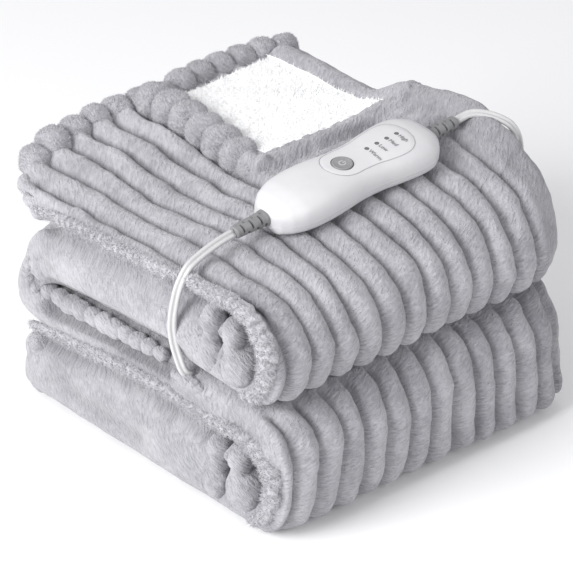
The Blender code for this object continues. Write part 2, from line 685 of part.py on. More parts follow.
def make_plug(collection, finishes):
    """Moulded two-pin plug: a ribbed neck that widens into the grip, and two flat blades."""
    sections = [(1.5 * GAP, 3.6, 3.6), (4, 3.9, 3.9), (5, 3.2, 3.2), (7, 3.2, 3.2), (8, 4.2, 4.2),
                (11, 4.4, 4.4), (12, 3.6, 3.6), (14, 3.6, 3.6), (15, 4.8, 4.6), (19, 5.4, 5.0),
                (PLUG_NECK, 7.5, 6.0), (PLUG_NECK + 5, 11.0, 7.4), (PLUG_NECK + 14, PLUG_HALF_WIDE, 8.0),
                (PLUG_NECK + PLUG_LENGTH - 2, PLUG_HALF_WIDE, PLUG_HALF_HIGH),
                (PLUG_NECK + PLUG_LENGTH, PLUG_HALF_WIDE - 1.5, PLUG_HALF_HIGH - 1.5)]
    rings = []
    for along, half_wide, half_high in sections:
        ring = []
        for k in range(16):
            angle = 2 * math.pi * (k + 0.5) / 16
            side, rise = math.cos(angle), math.sin(angle)
            ring.append(Vector((along, half_wide * math.copysign(abs(side) ** 0.7, side),
                                half_high * math.copysign(abs(rise) ** 0.7, rise))))
        rings.append(ring)
    place = plug_place()
    grip = mesh_object("plug_grip", loft(rings), finishes["plug"], collection)
    grip.matrix_world = place
    face = PLUG_NECK + PLUG_LENGTH
    for side, name in ((-1, "left"), (1, "right")):
        body = bmesh.new()
        bmesh.ops.create_cube(body, size=1)
        bmesh.ops.scale(body, vec=(BLADE_LENGTH, BLADE_THICK, BLADE_WIDE), verts=body.verts)
        centre = (face + GAP + BLADE_LENGTH / 2, side * BLADE_SPREAD, 0)
        bmesh.ops.translate(body, vec=centre, verts=body.verts)
        blade = mesh_object(f"plug_blade_{name}", body, finishes["blade"], collection, smooth=False)
        blade.matrix_world = place


# ---------------------------------------------------------------- the whole object
def main():
    clear_scene()
    collection = new_collection("electric heated blanket")
    cutters = new_collection("cutters")
    cloth = material("grey ribbed plush", (0.60, 0.60, 0.63), 0.95)
    finishes = dict(
        case=material("white case plastic", (0.86, 0.86, 0.87), 0.35),
        button=material("grey button", (0.33, 0.33, 0.34), 0.5),
        lamp=material("grey lamp lens", (0.25, 0.25, 0.26), 0.3),
        relief=material("grey rubber exit", (0.30, 0.30, 0.31), 0.6),
        plug=material("white plug plastic", (0.85, 0.85, 0.85), 0.45),
        blade=material("plated blade", (0.75, 0.74, 0.70), 0.3, 1.0),
    )
    lead = material("white lead sheath", (0.84, 0.84, 0.84), 0.45)
    make_cloth(cloth, collection)
    make_case(collection, cutters, case_place(), finishes)
    make_lead("blanket_lead", BLANKET_LEAD_ROUTE, collection, lead)
    make_lead("mains_lead", MAINS_LEAD_ROUTE, collection, lead)
    make_lead("plug_tail", PLUG_TAIL_ROUTE, collection, lead)
    make_coil(collection, lead)
    make_tie(collection, finishes["relief"])
    make_plug(collection, finishes)


main()
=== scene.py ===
# %% [markdown]
# # Electric heated blanket
# A light grey plush blanket with raised ribs and a white fleece underside lies folded on a pale floor.
# Its hand controller lies on top, one lead runs back into the folds, and the other goes to the plug.
# This file dresses the plain solids of the frame. Every shape is worked out in millimetres in the
# frame's own place and then scaled to metres, so nothing has to be moved afterwards.
# %% Open the frame
import functools
import math

import bmesh
import bpy
import numpy as np
from mathutils import Matrix, Vector, noise
from mathutils.geometry import delaunay_2d_cdt


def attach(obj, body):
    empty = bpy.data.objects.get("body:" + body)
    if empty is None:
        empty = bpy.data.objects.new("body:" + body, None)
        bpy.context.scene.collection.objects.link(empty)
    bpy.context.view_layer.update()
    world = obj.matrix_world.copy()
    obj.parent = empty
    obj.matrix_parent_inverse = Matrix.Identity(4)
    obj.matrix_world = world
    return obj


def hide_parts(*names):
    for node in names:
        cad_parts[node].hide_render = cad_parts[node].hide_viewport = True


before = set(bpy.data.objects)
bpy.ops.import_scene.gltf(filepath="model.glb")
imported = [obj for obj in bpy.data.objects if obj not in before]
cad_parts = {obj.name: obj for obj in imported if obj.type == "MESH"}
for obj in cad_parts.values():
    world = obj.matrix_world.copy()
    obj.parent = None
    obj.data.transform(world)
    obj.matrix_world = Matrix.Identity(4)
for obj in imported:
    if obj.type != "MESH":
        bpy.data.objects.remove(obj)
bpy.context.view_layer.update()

MM = 0.001

# %% [markdown]
# ## Camera
# The photograph looks down on the near corner with a long lens, so upright lines hardly converge.
# A camera can be placed by hand, or worked out from an azimuth, an elevation and a distance, as a
# photographer would say it. The second way is used, because each number can then be read and changed.
# %% Camera
CAMERA_AZIMUTH, CAMERA_ELEVATION = math.radians(45.9), math.radians(31.2)
CAMERA_DISTANCE, CAMERA_LENS = 1.65, 150.0
CAMERA_TARGET = Vector((0, 0, 0.0885))
back = Vector((math.sin(CAMERA_AZIMUTH) * math.cos(CAMERA_ELEVATION),
               -math.cos(CAMERA_AZIMUTH) * math.cos(CAMERA_ELEVATION), math.sin(CAMERA_ELEVATION)))
camera_data = bpy.data.cameras.new("camera")
camera_data.lens = CAMERA_LENS
camera_data.sensor_width = 36.0
camera = bpy.data.objects.new("camera", camera_data)
bpy.context.scene.collection.objects.link(camera)
camera.location = CAMERA_TARGET + back * CAMERA_DISTANCE
camera.rotation_euler = (-back).to_track_quat("-Z", "Y").to_euler()
bpy.context.scene.camera = camera
print("camera at", [round(v, 3) for v in camera.location])


# %% [markdown]
# ## Small helpers
# Tables with named columns hold the sizes, and a smooth curve is drawn through their rows. The same
# curve, a Catmull-Rom spline, makes the folds of the cloth and the routes of the leads.
# %% Helpers for tables and curves
def clamp(value, low=0.0, high=1.0):
    return max(low, min(high, value))


def smooth(value):
    value = clamp(value)
    return value * value * (3 - 2 * value)


def ramp(value, start, reach):
    """0 before start, 1 from start + reach on, and smooth in between; a negative reach runs back."""
    return smooth((value - start) / reach)


def catmull(a, b, c, d, u):
    return 0.5 * (2 * b + (c - a) * u + (2 * a - 5 * b + 4 * c - d) * u * u
                  + (3 * b - a - 3 * c + d) * u * u * u)


def table_value(table, key, value, column):
    """Smooth value of a column of a table, at a place along its key column."""
    keys = [row[key] for row in table]
    if value <= keys[0]:
        return table[0][column]
    if value >= keys[-1]:
        return table[-1][column]
    i = max(k for k in range(len(keys) - 1) if keys[k] <= value)
    u = (value - keys[i]) / (keys[i + 1] - keys[i])
    return catmull(*(table[clamp(k, 0, len(table) - 1)][column] for k in range(i - 1, i + 3)), u)


def smooth_line(knots, steps):
    """Points on a smooth curve through the knots, with as many steps in each gap."""
    last = len(knots) - 1
    return [catmull(*(knots[clamp(k, 0, last)] for k in range(i - 1, i + 3)), step / steps)
            for i in range(last) for step in range(steps)] + [knots[-1]]


def smooth_route(points, spacing):
    """Even points on a smooth curve through a route's own points, in millimetres."""
    fine = smooth_line([Vector(point) for point in points], 12)
    lengths = [0.0]
    for first, second in zip(fine, fine[1:]):
        lengths.append(lengths[-1] + (second - first).length)
    count = max(2, round(lengths[-1] / spacing))
    even, at = [], 0
    for k in range(count + 1):
        want = lengths[-1] * k / count
        while at < len(fine) - 2 and lengths[at + 1] < want:
            at += 1
        share = (want - lengths[at]) / (lengths[at + 1] - lengths[at])
        even.append(fine[at].lerp(fine[at + 1], clamp(share)))
    return even


def boxed(value, power):
    """A sine or cosine to a power, with its sign kept: it squares off a circle's sides."""
    return math.copysign(abs(value) ** power, value)


# %% Helpers for meshes
def linked(name, data):
    """New object at the origin, in the scene."""
    made = bpy.data.objects.new(name, data)
    bpy.context.scene.collection.objects.link(made)
    return made


def as_mesh(source):
    """Plain mesh of an object as its modifiers leave it."""
    bpy.context.view_layer.update()
    return bpy.data.meshes.new_from_object(source.evaluated_get(bpy.context.evaluated_depsgraph_get()))


def finished(name, points, faces, materials, shade=True):
    """Object at the origin from points in millimetres, with its faces turned outwards."""
    mesh = bpy.data.meshes.new(name)
    mesh.from_pydata([tuple(p) for p in points], [], faces)
    shape = bmesh.new()
    shape.from_mesh(mesh)
    bmesh.ops.recalc_face_normals(shape, faces=shape.faces)
    bmesh.ops.scale(shape, vec=(MM, MM, MM), verts=shape.verts)
    shape.to_mesh(mesh)
    shape.free()
    for finish in materials:
        mesh.materials.append(finish)
    if shade:
        mesh.shade_smooth()
    return linked(name, mesh)


def lofted(rings, caps=True):
    """Points and faces of a body through rings with equal counts."""
    count = len(rings[0])
    points = [p for ring in rings for p in ring]
    faces = []
    for r in range(len(rings) - 1):
        for i in range(count):
            j = (i + 1) % count
            faces.append((r * count + i, r * count + j, (r + 1) * count + j, (r + 1) * count + i))
    if caps:
        faces.append(tuple(range(count)))
        faces.append(tuple(range((len(rings) - 1) * count, len(rings) * count)))
    return points, faces


# %% [markdown]
# ## Finishes: how a material is built
# Every finish here is made of nodes. Constants such as roughness or sheen sit on the shader itself, and
# noise on the object's own coordinates, or on the cloth's own UV map, gives colour and bump. Nothing in
# them depends on the camera, so the finish stays put when the object turns.
# %% Helpers for materials
def new_finish(name, colour, roughness, **settings):
    finish = bpy.data.materials.new(name)
    finish.use_nodes = True
    shader = finish.node_tree.nodes["Principled BSDF"]
    shader.inputs["Base Color"].default_value = (*colour, 1)
    shader.inputs["Roughness"].default_value = roughness
    for socket, value in settings.items():
        shader.inputs[socket.replace("_", " ")].default_value = value
    return finish, finish.node_tree, shader


def add_node(tree, kind, settings=None, **links):
    node = tree.nodes.new(kind)
    for key, value in (settings or {}).items():
        if key in node.inputs:
            node.inputs[key].default_value = value
        else:
            setattr(node, key, value)
    for key, source in links.items():
        tree.links.new(source, node.inputs[key.replace("_", " ")])
    return node


def noise_at(tree, source, scale, detail=3.0, roughness=0.55, stretch=(1, 1, 1), turn=0.0):
    """Noise in cycles for each metre, drawn out by stretch along directions that are first turned."""
    place = add_node(tree, "ShaderNodeMapping", {"vector_type": "TEXTURE"}, Vector=source)
    place.inputs["Scale"].default_value, place.inputs["Rotation"].default_value = stretch, (0, 0, turn)
    made = add_node(tree, "ShaderNodeTexNoise", {"Scale": scale, "Detail": detail, "Roughness": roughness},
                    Vector=place.outputs["Vector"])
    return made.outputs["Fac"]


def bumped(tree, height, strength, distance, under=None):
    links = dict(Height=height)
    if under is not None:
        links["Normal"] = under
    made = add_node(tree, "ShaderNodeBump", {"Strength": strength, "Distance": distance}, **links)
    return made.outputs["Normal"]


def tinted(tree, factor, dark, light, low=0.3, high=0.7):
    tones = add_node(tree, "ShaderNodeValToRGB", Fac=factor)
    for stop, place, colour in zip(tones.color_ramp.elements, (low, high), (dark, light)):
        stop.position, stop.color = place, (*colour, 1)
    return tones.outputs["Color"]


def mottled(name, roughness, scale, dark, light, bump=None, detail=3, broken=0.55, **settings):
    """Finish mottled between two shades; bump is the scale, strength and distance of its fine grain."""
    finish, tree, shader = new_finish(name, light, roughness, **settings)
    source = add_node(tree, "ShaderNodeTexCoord").outputs["Object"]
    tree.links.new(tinted(tree, noise_at(tree, source, scale, detail, broken), dark, light),
                   shader.inputs["Base Color"])
    if bump:
        grain = noise_at(tree, source, bump[0], 2, broken)
        tree.links.new(bumped(tree, grain, bump[1], bump[2]), shader.inputs["Normal"])
    return finish


# %% [markdown]
# ## Leads
# Both leads are a flat twin flex: two round cores side by side in one white sheath, with a groove
# between them. A curve with a bevel could make it, but the groove has to keep facing out of the cloth,
# so the profile is swept by hand along the route and turned to a chosen direction at every step.
# %% Routes of the leads
LEAD_WIDE, LEAD_THICK = 6.2, 3.9
GROOVE_FROM = 140                # degrees round each core at which its outline turns into the groove
BLANKET_LEAD_ROUTE = [
    (46.5, -92.0, 187.15), (45.9, -101, 185.9), (45.2, -111, 183.4), (44.8, -120.5, 180.4),
    (44.8, -129.4, 176.6), (44.4, -135.0, 169.5), (42.4, -137.0, 161), (39.4, -137.4, 149),
    (37.2, -137.4, 137), (37.0, -137.2, 127), (38.2, -136.6, 118), (40.8, -136.0, 109.5),
    (43.6, -135.4, 102.6), (45.6, -133.4, 98.4), (47.0, -130.2, 96.8),
]
MAINS_LEAD_ROUTE = [
    (56.5, 105.5, 200.05), (57.0, 110.6, 201.1), (59.8, 117.0, 202.9), (66.2, 123.4, 202.6),
    (74.6, 129.4, 200.2), (81.4, 134.8, 194.8), (84.8, 138.4, 184), (85.8, 139.6, 166),
    (85.6, 140.4, 135), (84.6, 142.0, 102), (82.6, 143.6, 72), (79.0, 146.2, 46),
    (73.0, 149.0, 26), (62.5, 151.6, 11.5), (49, 153, 4.6), (34, 154.6, 2.8), (18, 154.9, 2.8),
]
PLUG_TAIL_ROUTE = [
    (-12, 155.0, 14.6), (-22, 155.4, 13.4), (-31, 157, 10.9), (-39, 159.6, 9.0), (-47, 162.6, 8.4),
]
COIL_CENTRE, COIL_TURNS, COIL_STEPS = (5.0, 197.0), 7, 24
COIL_WINDING = [               # turn, radius and height of the winding: up layer by layer
    dict(turn=0.00, radius=42.5, height=2.8), dict(turn=0.35, radius=36.2, height=3.9),
    dict(turn=1.00, radius=36.2, height=3.9), dict(turn=1.25, radius=29.8, height=3.9),
    dict(turn=2.00, radius=29.8, height=3.9), dict(turn=2.25, radius=29.8, height=8.15),
    dict(turn=3.00, radius=29.8, height=8.15), dict(turn=3.25, radius=36.2, height=8.15),
    dict(turn=4.00, radius=36.2, height=8.15), dict(turn=4.25, radius=36.2, height=12.4),
    dict(turn=5.00, radius=36.2, height=12.4), dict(turn=5.25, radius=29.8, height=12.4),
    dict(turn=6.00, radius=29.8, height=12.4), dict(turn=6.35, radius=36.2, height=16.6),
    dict(turn=6.75, radius=36.4, height=16.6), dict(turn=7.00, radius=42.2, height=14.9),
]


def coil_route():
    rows, route = COIL_WINDING, []
    for step in range(COIL_TURNS * COIL_STEPS + 1):
        turn = step / COIL_STEPS
        i = max(k for k in range(len(rows) - 1) if rows[k]["turn"] <= turn or k == 0)
        u = smooth((turn - rows[i]["turn"]) / (rows[i + 1]["turn"] - rows[i]["turn"]))
        radius = rows[i]["radius"] * (1 - u) + rows[i + 1]["radius"] * u
        height = rows[i]["height"] * (1 - u) + rows[i + 1]["height"] * u
        angle = -math.pi / 2 - 2 * math.pi * turn
        route.append((COIL_CENTRE[0] + radius * math.cos(angle),
                      COIL_CENTRE[1] + radius * math.sin(angle), height))
    return route


# %% Sweep the flat twin profile
def twin_profile(steps=10):
    """Outline of two cores side by side, from the middle of the top groove round."""
    core = LEAD_WIDE / 4
    outline = []
    for side in (1, -1):
        for k in range(steps + 1):
            angle = side * math.radians(GROOVE_FROM) * (1 - 2 * k / steps)
            if side < 0:
                angle = math.pi - angle
            outline.append((side * core * 0.98 + core * 1.02 * math.cos(angle),
                            LEAD_THICK / 2 * math.sin(angle)))
    return outline


def swept(name, points, facing, finish):
    """Flat twin lead along even points; facing(point) is the way that its flat side looks."""
    outline, rings = twin_profile(), []
    for i, p in enumerate(points):
        along = (points[min(i + 1, len(points) - 1)] - points[max(i - 1, 0)]).normalized()
        look = facing(p)
        look = (look - along * look.dot(along)).normalized()
        across = along.cross(look)
        rings.append([p + across * a + look * b for a, b in outline])
    return finished(name, *lofted(rings), [finish])


def route_length(points):
    return sum((b - a).length for a, b in zip(points, points[1:])) * MM


lead_finish = mottled("white lead sheath", 0.45, 900, (0.50, 0.50, 0.505), (0.56, 0.56, 0.56),
                      (900, 0.12, 0.0002), detail=2, Coat_Weight=0.15, Coat_Roughness=0.3)
blanket_route = smooth_route(BLANKET_LEAD_ROUTE, 2.2)
mains_route = smooth_route(MAINS_LEAD_ROUTE + coil_route() + PLUG_TAIL_ROUTE, 3.2)
blanket_lead = swept("lead_to_blanket", blanket_route, lambda p: Vector((0.62, -0.58, 0.5)), lead_finish)
LYING_BELOW = 30.0               # height under which the power lead lies flat on the floor
mains_lead = swept("lead_to_mains", mains_route, lambda p: Vector((0.35, -0.35, 0.87))
                   if p.z > LYING_BELOW else Vector((0.1, -0.1, 0.98)), lead_finish)
print("lead lengths in m:", round(route_length(blanket_route), 3), round(route_length(mains_route), 3))

# %% [markdown]
# ## Folded cloth
# The blanket is one long cloth folded back and forth. Its section lies across X and Z and runs along Y,
# as a puff pastry's layers do. The same outline as in the solid is drawn here with many more rows, and
# the edges of the layers are rounded like a soft roll. A simulation could fold the cloth, but it would
# not stop in this very fold, so the folds are drawn and the creases are pressed in one by one.
# %% Sizes of the folded cloth
HALF_LENGTH = 131.0            # half of the folded blanket along Y
END_ROUND = 10.0
RIB_COUNT, RIB_STEPS = 12, 12
RIB_DEPTH, RIB_POWER, LOWER_FOLD_RIBS = 6.8, 0.64, 1.2
VALLEY_SHARE = 0.42            # painted shade darkens the pile where a rib is lower than this share of its height
PLAIN_SINK, FOLD_SINK = 1.2, 0.3               # the plain cloth's depth: on top, and at the fold in ribs
BEHIND_LEAN, BEHIND_LEAN_FROM = 0.16, 40.0     # the plain cloth behind the ribs starts further back at right
BEHIND_Y, BEHIND_X = (92, 12), (-26, 10)       # each change: where it starts and how far it reaches
BESIDE_Y, BESIDE_RIGHT, BESIDE_LEFT = (-16, 12), (46, -14), (-30, 8)
FLEECE_END_Y, FLEECE_END_X = (96, 24), (-46, 26)
BAND_END, BACK_HEM_END = (118, -34), (8, -26)
# painted shade on the back ridge: its strength, and where it starts and how far it reaches along Y and X
RIDGE_SHADE, RIDGE_Y, RIDGE_X = 0.5, (98, 14), (-6, 14)
SCALLOP_DEPTH, SCALLOP_POWER, SCALLOP_LIFT = 5.6, 0.75, 1.2
RELIEF_FADE = 14.0
STACK_SPLIT, TOP_HEIGHT, TOP_PLY_FOOT = 100.0, 173.0, 155.0
FLARE_LEFT, FAR_TUCK, FAR_TUCK_LENGTH = 0.02, 0.055, 32.0
SECTION_LEFT, REACH_FROM = 118.0, 60.0         # left end of the top in the section, and where it stretches
CORNER_X, CORNER_Y, WINDOW_X, CORNER_LEAN = -20.0, -8.0, -16.0, 0.12
ROLL_HALF, ROLL_HEIGHT, ROLL_PITCH = 9.0, 8.0, 16.5
ROLL_LEAN, ROLL_POWER, ROLL_LOW, ROLL_PUFF, ROLL_FLATTER = 0.55, 0.7, 0.55, 0.45, 0.35
ROLL_FLAT_FROM, ROLL_FLAT_REACH = 60.0, 70.0
HEM_FROM, FLEECE_UNDER_HEM = 0.4, 2.5          # a hem's height where it starts, and where it hides fleece
BAND_HALF, BAND_HEIGHT = 7.0, 5.0
BACK_HEM_HALF, BACK_HEM_HEIGHT = 12.0, 6.5
FLEECE_STEP, FLEECE_EDGE, FLAP_ACROSS, FLAP_ALONG = 4.0, 0.14, 114.0, 143.0

SECTION = [                    # one closed outline at the near end; soft is how far an end rounds in
    dict(run="lower ply hem", relief="hem", step=2.2, soft=2.0,
         at=[(-107, 155), (-114, 156), (-118, 160), (-114, 164)]),
    dict(run="ply notch", relief="still", step=2.2, soft=0.5, at=[(-105, 165.2)]),
    dict(run="top ply hem", relief="hem", step=2.2, soft=1.8,
         at=[(-113, 166), (-118, 169), (-113, 172.6)]),
    dict(run="top", relief="top", step=1.6, soft=6,
         at=[(-104, 173), (-60, 172.5), (-14, 172.5), (30, 173), (70, 172.5)]),
    dict(run="upper fold", relief="rib", step=2.4, soft=7,
         at=[(95, 169.5), (112, 162), (124, 149), (130, 134), (128, 118), (119, 105), (105, 100.5)]),
    dict(run="upper underside", relief="plain", step=7, soft=6,
         at=[(85, 101), (60, 103.5), (20, 103), (-25, 102), (-65, 100.5), (-92, 98)]),
    dict(run="left crease", relief="plain", step=4, soft=1, at=[(-106, 97.5), (-110, 96), (-106, 94.5)]),
    dict(run="lower top", relief="plain", step=7, soft=6,
         at=[(-90, 94), (-40, 96), (10, 98), (50, 98), (88, 96.5)]),
    dict(run="lower fold", relief="rib", step=2.4, soft=7,
         at=[(106, 96.5), (120, 93), (132, 83), (138, 66), (138, 46), (135, 28), (128, 13), (117, 3.5)]),
    dict(run="underside", relief="base", step=14, soft=5, at=[(104, 0), (40, 0), (-40, 0), (-118, 0)]),
    dict(run="lower hem", relief="hem", step=2.6, soft=6,
         at=[(-128, 2), (-134, 8), (-135, 20), (-132.5, 32), (-132, 44), (-124, 54)]),
    dict(run="lower pad top", relief="plain", step=7, soft=11,
         at=[(-108, 57.5), (-40, 62), (20, 64), (54, 57)]),
    dict(run="lower swirl", relief="plain", step=4, soft=4,
         at=[(63, 53), (66, 42), (64, 30), (67, 19), (71, 14), (75, 18), (73, 28), (77, 37),
             (71, 47), (80, 57.5), (89, 50), (92, 42), (104, 31), (109, 20), (113, 28), (116, 42),
             (112, 55), (103, 61.5)]),
    dict(run="lower top, inside", relief="plain", step=7, soft=6,
         at=[(88, 64.5), (50, 66.5), (0, 69), (-50, 66.5), (-98, 61.5)]),
    dict(run="left fold", relief="rib", step=2.6, soft=7,
         at=[(-114, 62), (-128, 67), (-136.5, 79), (-137.5, 94), (-131, 110), (-120, 131), (-103, 147.5)]),
    dict(run="upper pad top", relief="plain", step=7, soft=11,
         at=[(-84, 151), (-30, 151), (20, 151), (49, 150.5)]),
    dict(run="upper swirl", relief="plain", step=4, soft=4,
         at=[(58, 147), (61, 138), (60, 128), (63, 121), (67, 118), (70, 121), (69, 126), (73, 132),
             (68, 141), (77, 151), (86, 143), (89, 136), (97, 126), (101, 116), (105, 122),
             (108, 134), (103, 146), (93, 153.5)]),
    dict(run="top, inside", relief="plain", step=7, soft=5,
         at=[(78, 155), (30, 155), (-30, 155), (-90, 155)]),
]
FLARE_RIGHT = [                # how much wider the folds are at the far end, by height
    dict(z=0, flare=0.24), dict(z=12, flare=0.22), dict(z=30, flare=0.13), dict(z=50, flare=0.09),
    dict(z=70, flare=0.075), dict(z=84, flare=0.055), dict(z=100, flare=0.16), dict(z=118, flare=0.12),
    dict(z=140, flare=0.09), dict(z=175, flare=0.09),
]
LEFT_REACH = [
    dict(y=-131, reach=121), dict(y=-112, reach=141), dict(y=-88, reach=147), dict(y=-36, reach=145),
    dict(y=0, reach=141), dict(y=104, reach=141), dict(y=131, reach=137),
]
TOP_RISE = [
    dict(y=-131, left=1, middle=0, crest=0, ridge=0, shoulder=0),
    dict(y=-106, left=4.5, middle=1, crest=1.2, ridge=1.6, shoulder=0.5),
    dict(y=-88, left=8, middle=2, crest=2.4, ridge=3, shoulder=1),
    dict(y=-55, left=13, middle=4, crest=4.3, ridge=5, shoulder=2),
    dict(y=-20, left=16, middle=7, crest=7.2, ridge=7.5, shoulder=4),
    dict(y=10, left=15, middle=9, crest=9.2, ridge=9.5, shoulder=6),
    dict(y=80, left=16, middle=12, crest=14, ridge=15, shoulder=10),
    dict(y=106, left=16, middle=13, crest=22, ridge=24, shoulder=14),
    dict(y=121, left=16, middle=12, crest=31, ridge=36, shoulder=21),
    dict(y=131, left=16, middle=11, crest=33, ridge=39, shoulder=23),
]
RISE_PLACES = [(-105.0, "left"), (-32.0, "middle"), (0.0, "crest"), (50.0, "ridge"), (112.0, "shoulder")]


# %% Rows round the section
def section_rows():
    knots = [(x, z, run) for run in SECTION for x, z in run["at"]]
    rows = []
    for i, (x, z, run) in enumerate(knots):
        a, c, d = knots[i - 1], knots[(i + 1) % len(knots)], knots[(i + 2) % len(knots)]
        steps = max(1, round(math.hypot(c[0] - x, c[1] - z) / run["step"]))
        for k in range(steps):
            u = k / steps
            rows.append(dict(
                x=catmull(a[0], x, c[0], d[0], u), z=max(0.0, catmull(a[1], z, c[1], d[1], u)),
                relief=run["relief"], run=run["run"], soft=run["soft"] * (1 - u) + c[2]["soft"] * u))
    along = 0.0
    for i, row in enumerate(rows):
        before, after = rows[i - 1], rows[(i + 1) % len(rows)]
        dx, dz = after["x"] - before["x"], after["z"] - before["z"]
        row["out"] = (-dz / math.hypot(dx, dz), dx / math.hypot(dx, dz))
        row["along"] = along
        along += math.hypot(after["x"] - row["x"], after["z"] - row["z"])
    for i, row in enumerate(rows):
        row["share"] = 1.0
        for turn in (-1, 1):
            far, k = 0.0, i
            while far < RELIEF_FADE and rows[k]["relief"] not in ("plain", "base"):
                after = rows[(k + turn) % len(rows)]
                far += math.hypot(after["x"] - rows[k]["x"], after["z"] - rows[k]["z"])
                k = (k + turn) % len(rows)
            row["share"] *= smooth(far / RELIEF_FADE)
    return rows


rows = section_rows()
print("section rows:", len(rows), "length round the section in mm:", round(rows[-1]["along"]))


# %% [markdown]
# ## Ribs, hems and the turned-back corner
# A rib is a roll between two stitched lines: a wide round back and a narrow deep valley. A sine to a
# power below one has just that shape. The hems are scalloped because the ribs run into them, so they
# use the same wave. The corner of the top cloth is turned back, and its two hems lie as a puffed roll
# along X and a plain band along Y.
# %% Relief of the cloth
def rib_wave(y, power):
    """0 on the back of a rib and -1 in a stitched valley."""
    pitch = 2 * (HALF_LENGTH - END_ROUND) / RIB_COUNT
    return abs(math.sin(math.pi * (y + HALF_LENGTH - END_ROUND) / pitch)) ** power - 1


def hump(distance, half):
    return max(0.0, 1 - (distance / half) ** 2)


def collar(x, y):
    """1 on the plain cloth beside the turned-back corner and behind the last ribs, and 0 elsewhere."""
    behind = ramp(y - BEHIND_LEAN * max(0.0, x - BEHIND_LEAN_FROM), *BEHIND_Y) * ramp(x, *BEHIND_X)
    beside = ramp(y, *BESIDE_Y) * ramp(x, *BESIDE_RIGHT) * ramp(x, *BESIDE_LEFT)
    return max(behind, beside)


def band_middle(y):
    """Middle of the plain band along Y, where the fleece window ends at the right."""
    return WINDOW_X + CORNER_LEAN * (y - CORNER_Y)


def in_window(x, y):
    return y > CORNER_Y and x < band_middle(y)


@functools.lru_cache(None)
def rises_at(y):
    return [table_value(TOP_RISE, "y", y, name) for _, name in RISE_PLACES]


@functools.lru_cache(None)
def reach_at(y):
    return table_value(LEFT_REACH, "y", y, "reach")


def top_rise(x, y, z):
    rises = rises_at(y)
    rise = rises[0] if x <= RISE_PLACES[0][0] else rises[-1]
    for i in range(len(RISE_PLACES) - 1):
        low, high = RISE_PLACES[i][0], RISE_PLACES[i + 1][0]
        if low < x <= high:
            u = smooth((x - low) / (high - low))
            rise = rises[i] * (1 - u) + rises[i + 1] * u
    if x > 0:
        return rise * clamp((z - STACK_SPLIT) / (TOP_HEIGHT - STACK_SPLIT)) ** 1.5
    return rise * clamp((z - TOP_PLY_FOOT) / (TOP_HEIGHT - TOP_PLY_FOOT))


def top_relief(x, y):
    """Height over the plain top, and whether white fleece shows there."""
    fleece = in_window(x, y)
    if fleece:
        across = (CORNER_X - x) / FLAP_ACROSS + (y - CORNER_Y) / FLAP_ALONG
        fade = 1 - ramp(y, *FLEECE_END_Y) * ramp(x, *FLEECE_END_X)
        height = FLEECE_STEP * smooth((1 + FLEECE_EDGE - across) / (2 * FLEECE_EDGE)) * fade
    else:
        height = RIB_DEPTH * rib_wave(y, RIB_POWER) * (1 - collar(x, y)) - PLAIN_SINK * collar(x, y)
    lean = x - CORNER_X + ROLL_LEAN * (y - CORNER_Y)
    puff = abs(math.sin(math.pi * lean / ROLL_PITCH)) ** ROLL_POWER
    flatter = ROLL_FLATTER * clamp((-x - ROLL_FLAT_FROM) / ROLL_FLAT_REACH)
    scallop = (ROLL_LOW + ROLL_PUFF * puff) * (1 - flatter)
    back_y = HALF_LENGTH - END_ROUND - BACK_HEM_HALF
    hems = [
        (x < CORNER_X + ROLL_HALF, ROLL_HEIGHT * scallop * hump(y - CORNER_Y, ROLL_HALF) ** 0.7),
        (y > CORNER_Y, BAND_HEIGHT * ramp(y, *BAND_END) * hump(x - band_middle(y), BAND_HALF)),
        (x < BACK_HEM_END[0], BACK_HEM_HEIGHT * ramp(x, *BACK_HEM_END) * hump(y - back_y, BACK_HEM_HALF)),
    ]
    for here, hem in hems:
        if here and hem > HEM_FROM:
            fleece = fleece and hem < FLEECE_UNDER_HEM
            height = max(height, hem)
    return height, fleece and y < back_y


def shaped(row, y, inset):
    """Place of a section row at a station along Y, and whether fleece shows there."""
    x, z = row["x"], row["z"]
    out_x, out_z = row["out"]
    push, fleece = 0.0, False
    if row["relief"] == "rib":
        plain = collar(x, y) if row["run"] == "upper fold" else 0.0
        deeper = LOWER_FOLD_RIBS if row["run"] == "lower fold" else 1.0
        push = RIB_DEPTH * deeper * (rib_wave(y, RIB_POWER) * (1 - plain) - FOLD_SINK * plain) * row["share"]
    elif row["relief"] == "hem":
        push = SCALLOP_DEPTH * rib_wave(y, SCALLOP_POWER) * row["share"] + SCALLOP_LIFT * row["share"]
    push -= inset * row["soft"]
    x += out_x * push
    z = max(0.0, z + out_z * push) if row["relief"] != "base" else z + inset * row["soft"]
    share = clamp((y + HALF_LENGTH) / (2 * HALF_LENGTH))
    if x > 0:
        tuck = FAR_TUCK * smooth(1 - (HALF_LENGTH - y) / FAR_TUCK_LENGTH)
        x *= 1 + share * table_value(FLARE_RIGHT, "z", z, "flare") - tuck
    elif z > TOP_PLY_FOOT - 1 and row["relief"] != "rib":
        x *= 1 + (reach_at(y) / SECTION_LEFT - 1) * clamp((-x - REACH_FROM) / (SECTION_LEFT - REACH_FROM))
    else:
        x *= 1 + share * FLARE_LEFT
    if row["relief"] == "top":
        height, fleece = top_relief(x, y)
        z += height * (1 - inset)
    return x, z + top_rise(x, y, z), fleece


# %% Build the shell of the cloth
def cloth_stations():
    straight = HALF_LENGTH - END_ROUND
    count = RIB_COUNT * RIB_STEPS
    middle = [(-straight + 2 * straight * k / count, 0.0) for k in range(count + 1)]
    arcs = [math.radians(a) for a in (22, 42, 60, 76, 90)]
    ends = [(straight + END_ROUND * math.sin(a), 1 - math.cos(a)) for a in arcs]
    return [(-y, inset) for y, inset in reversed(ends)] + middle + ends


points, flat_places, white, painted_shade = [], [], [], []


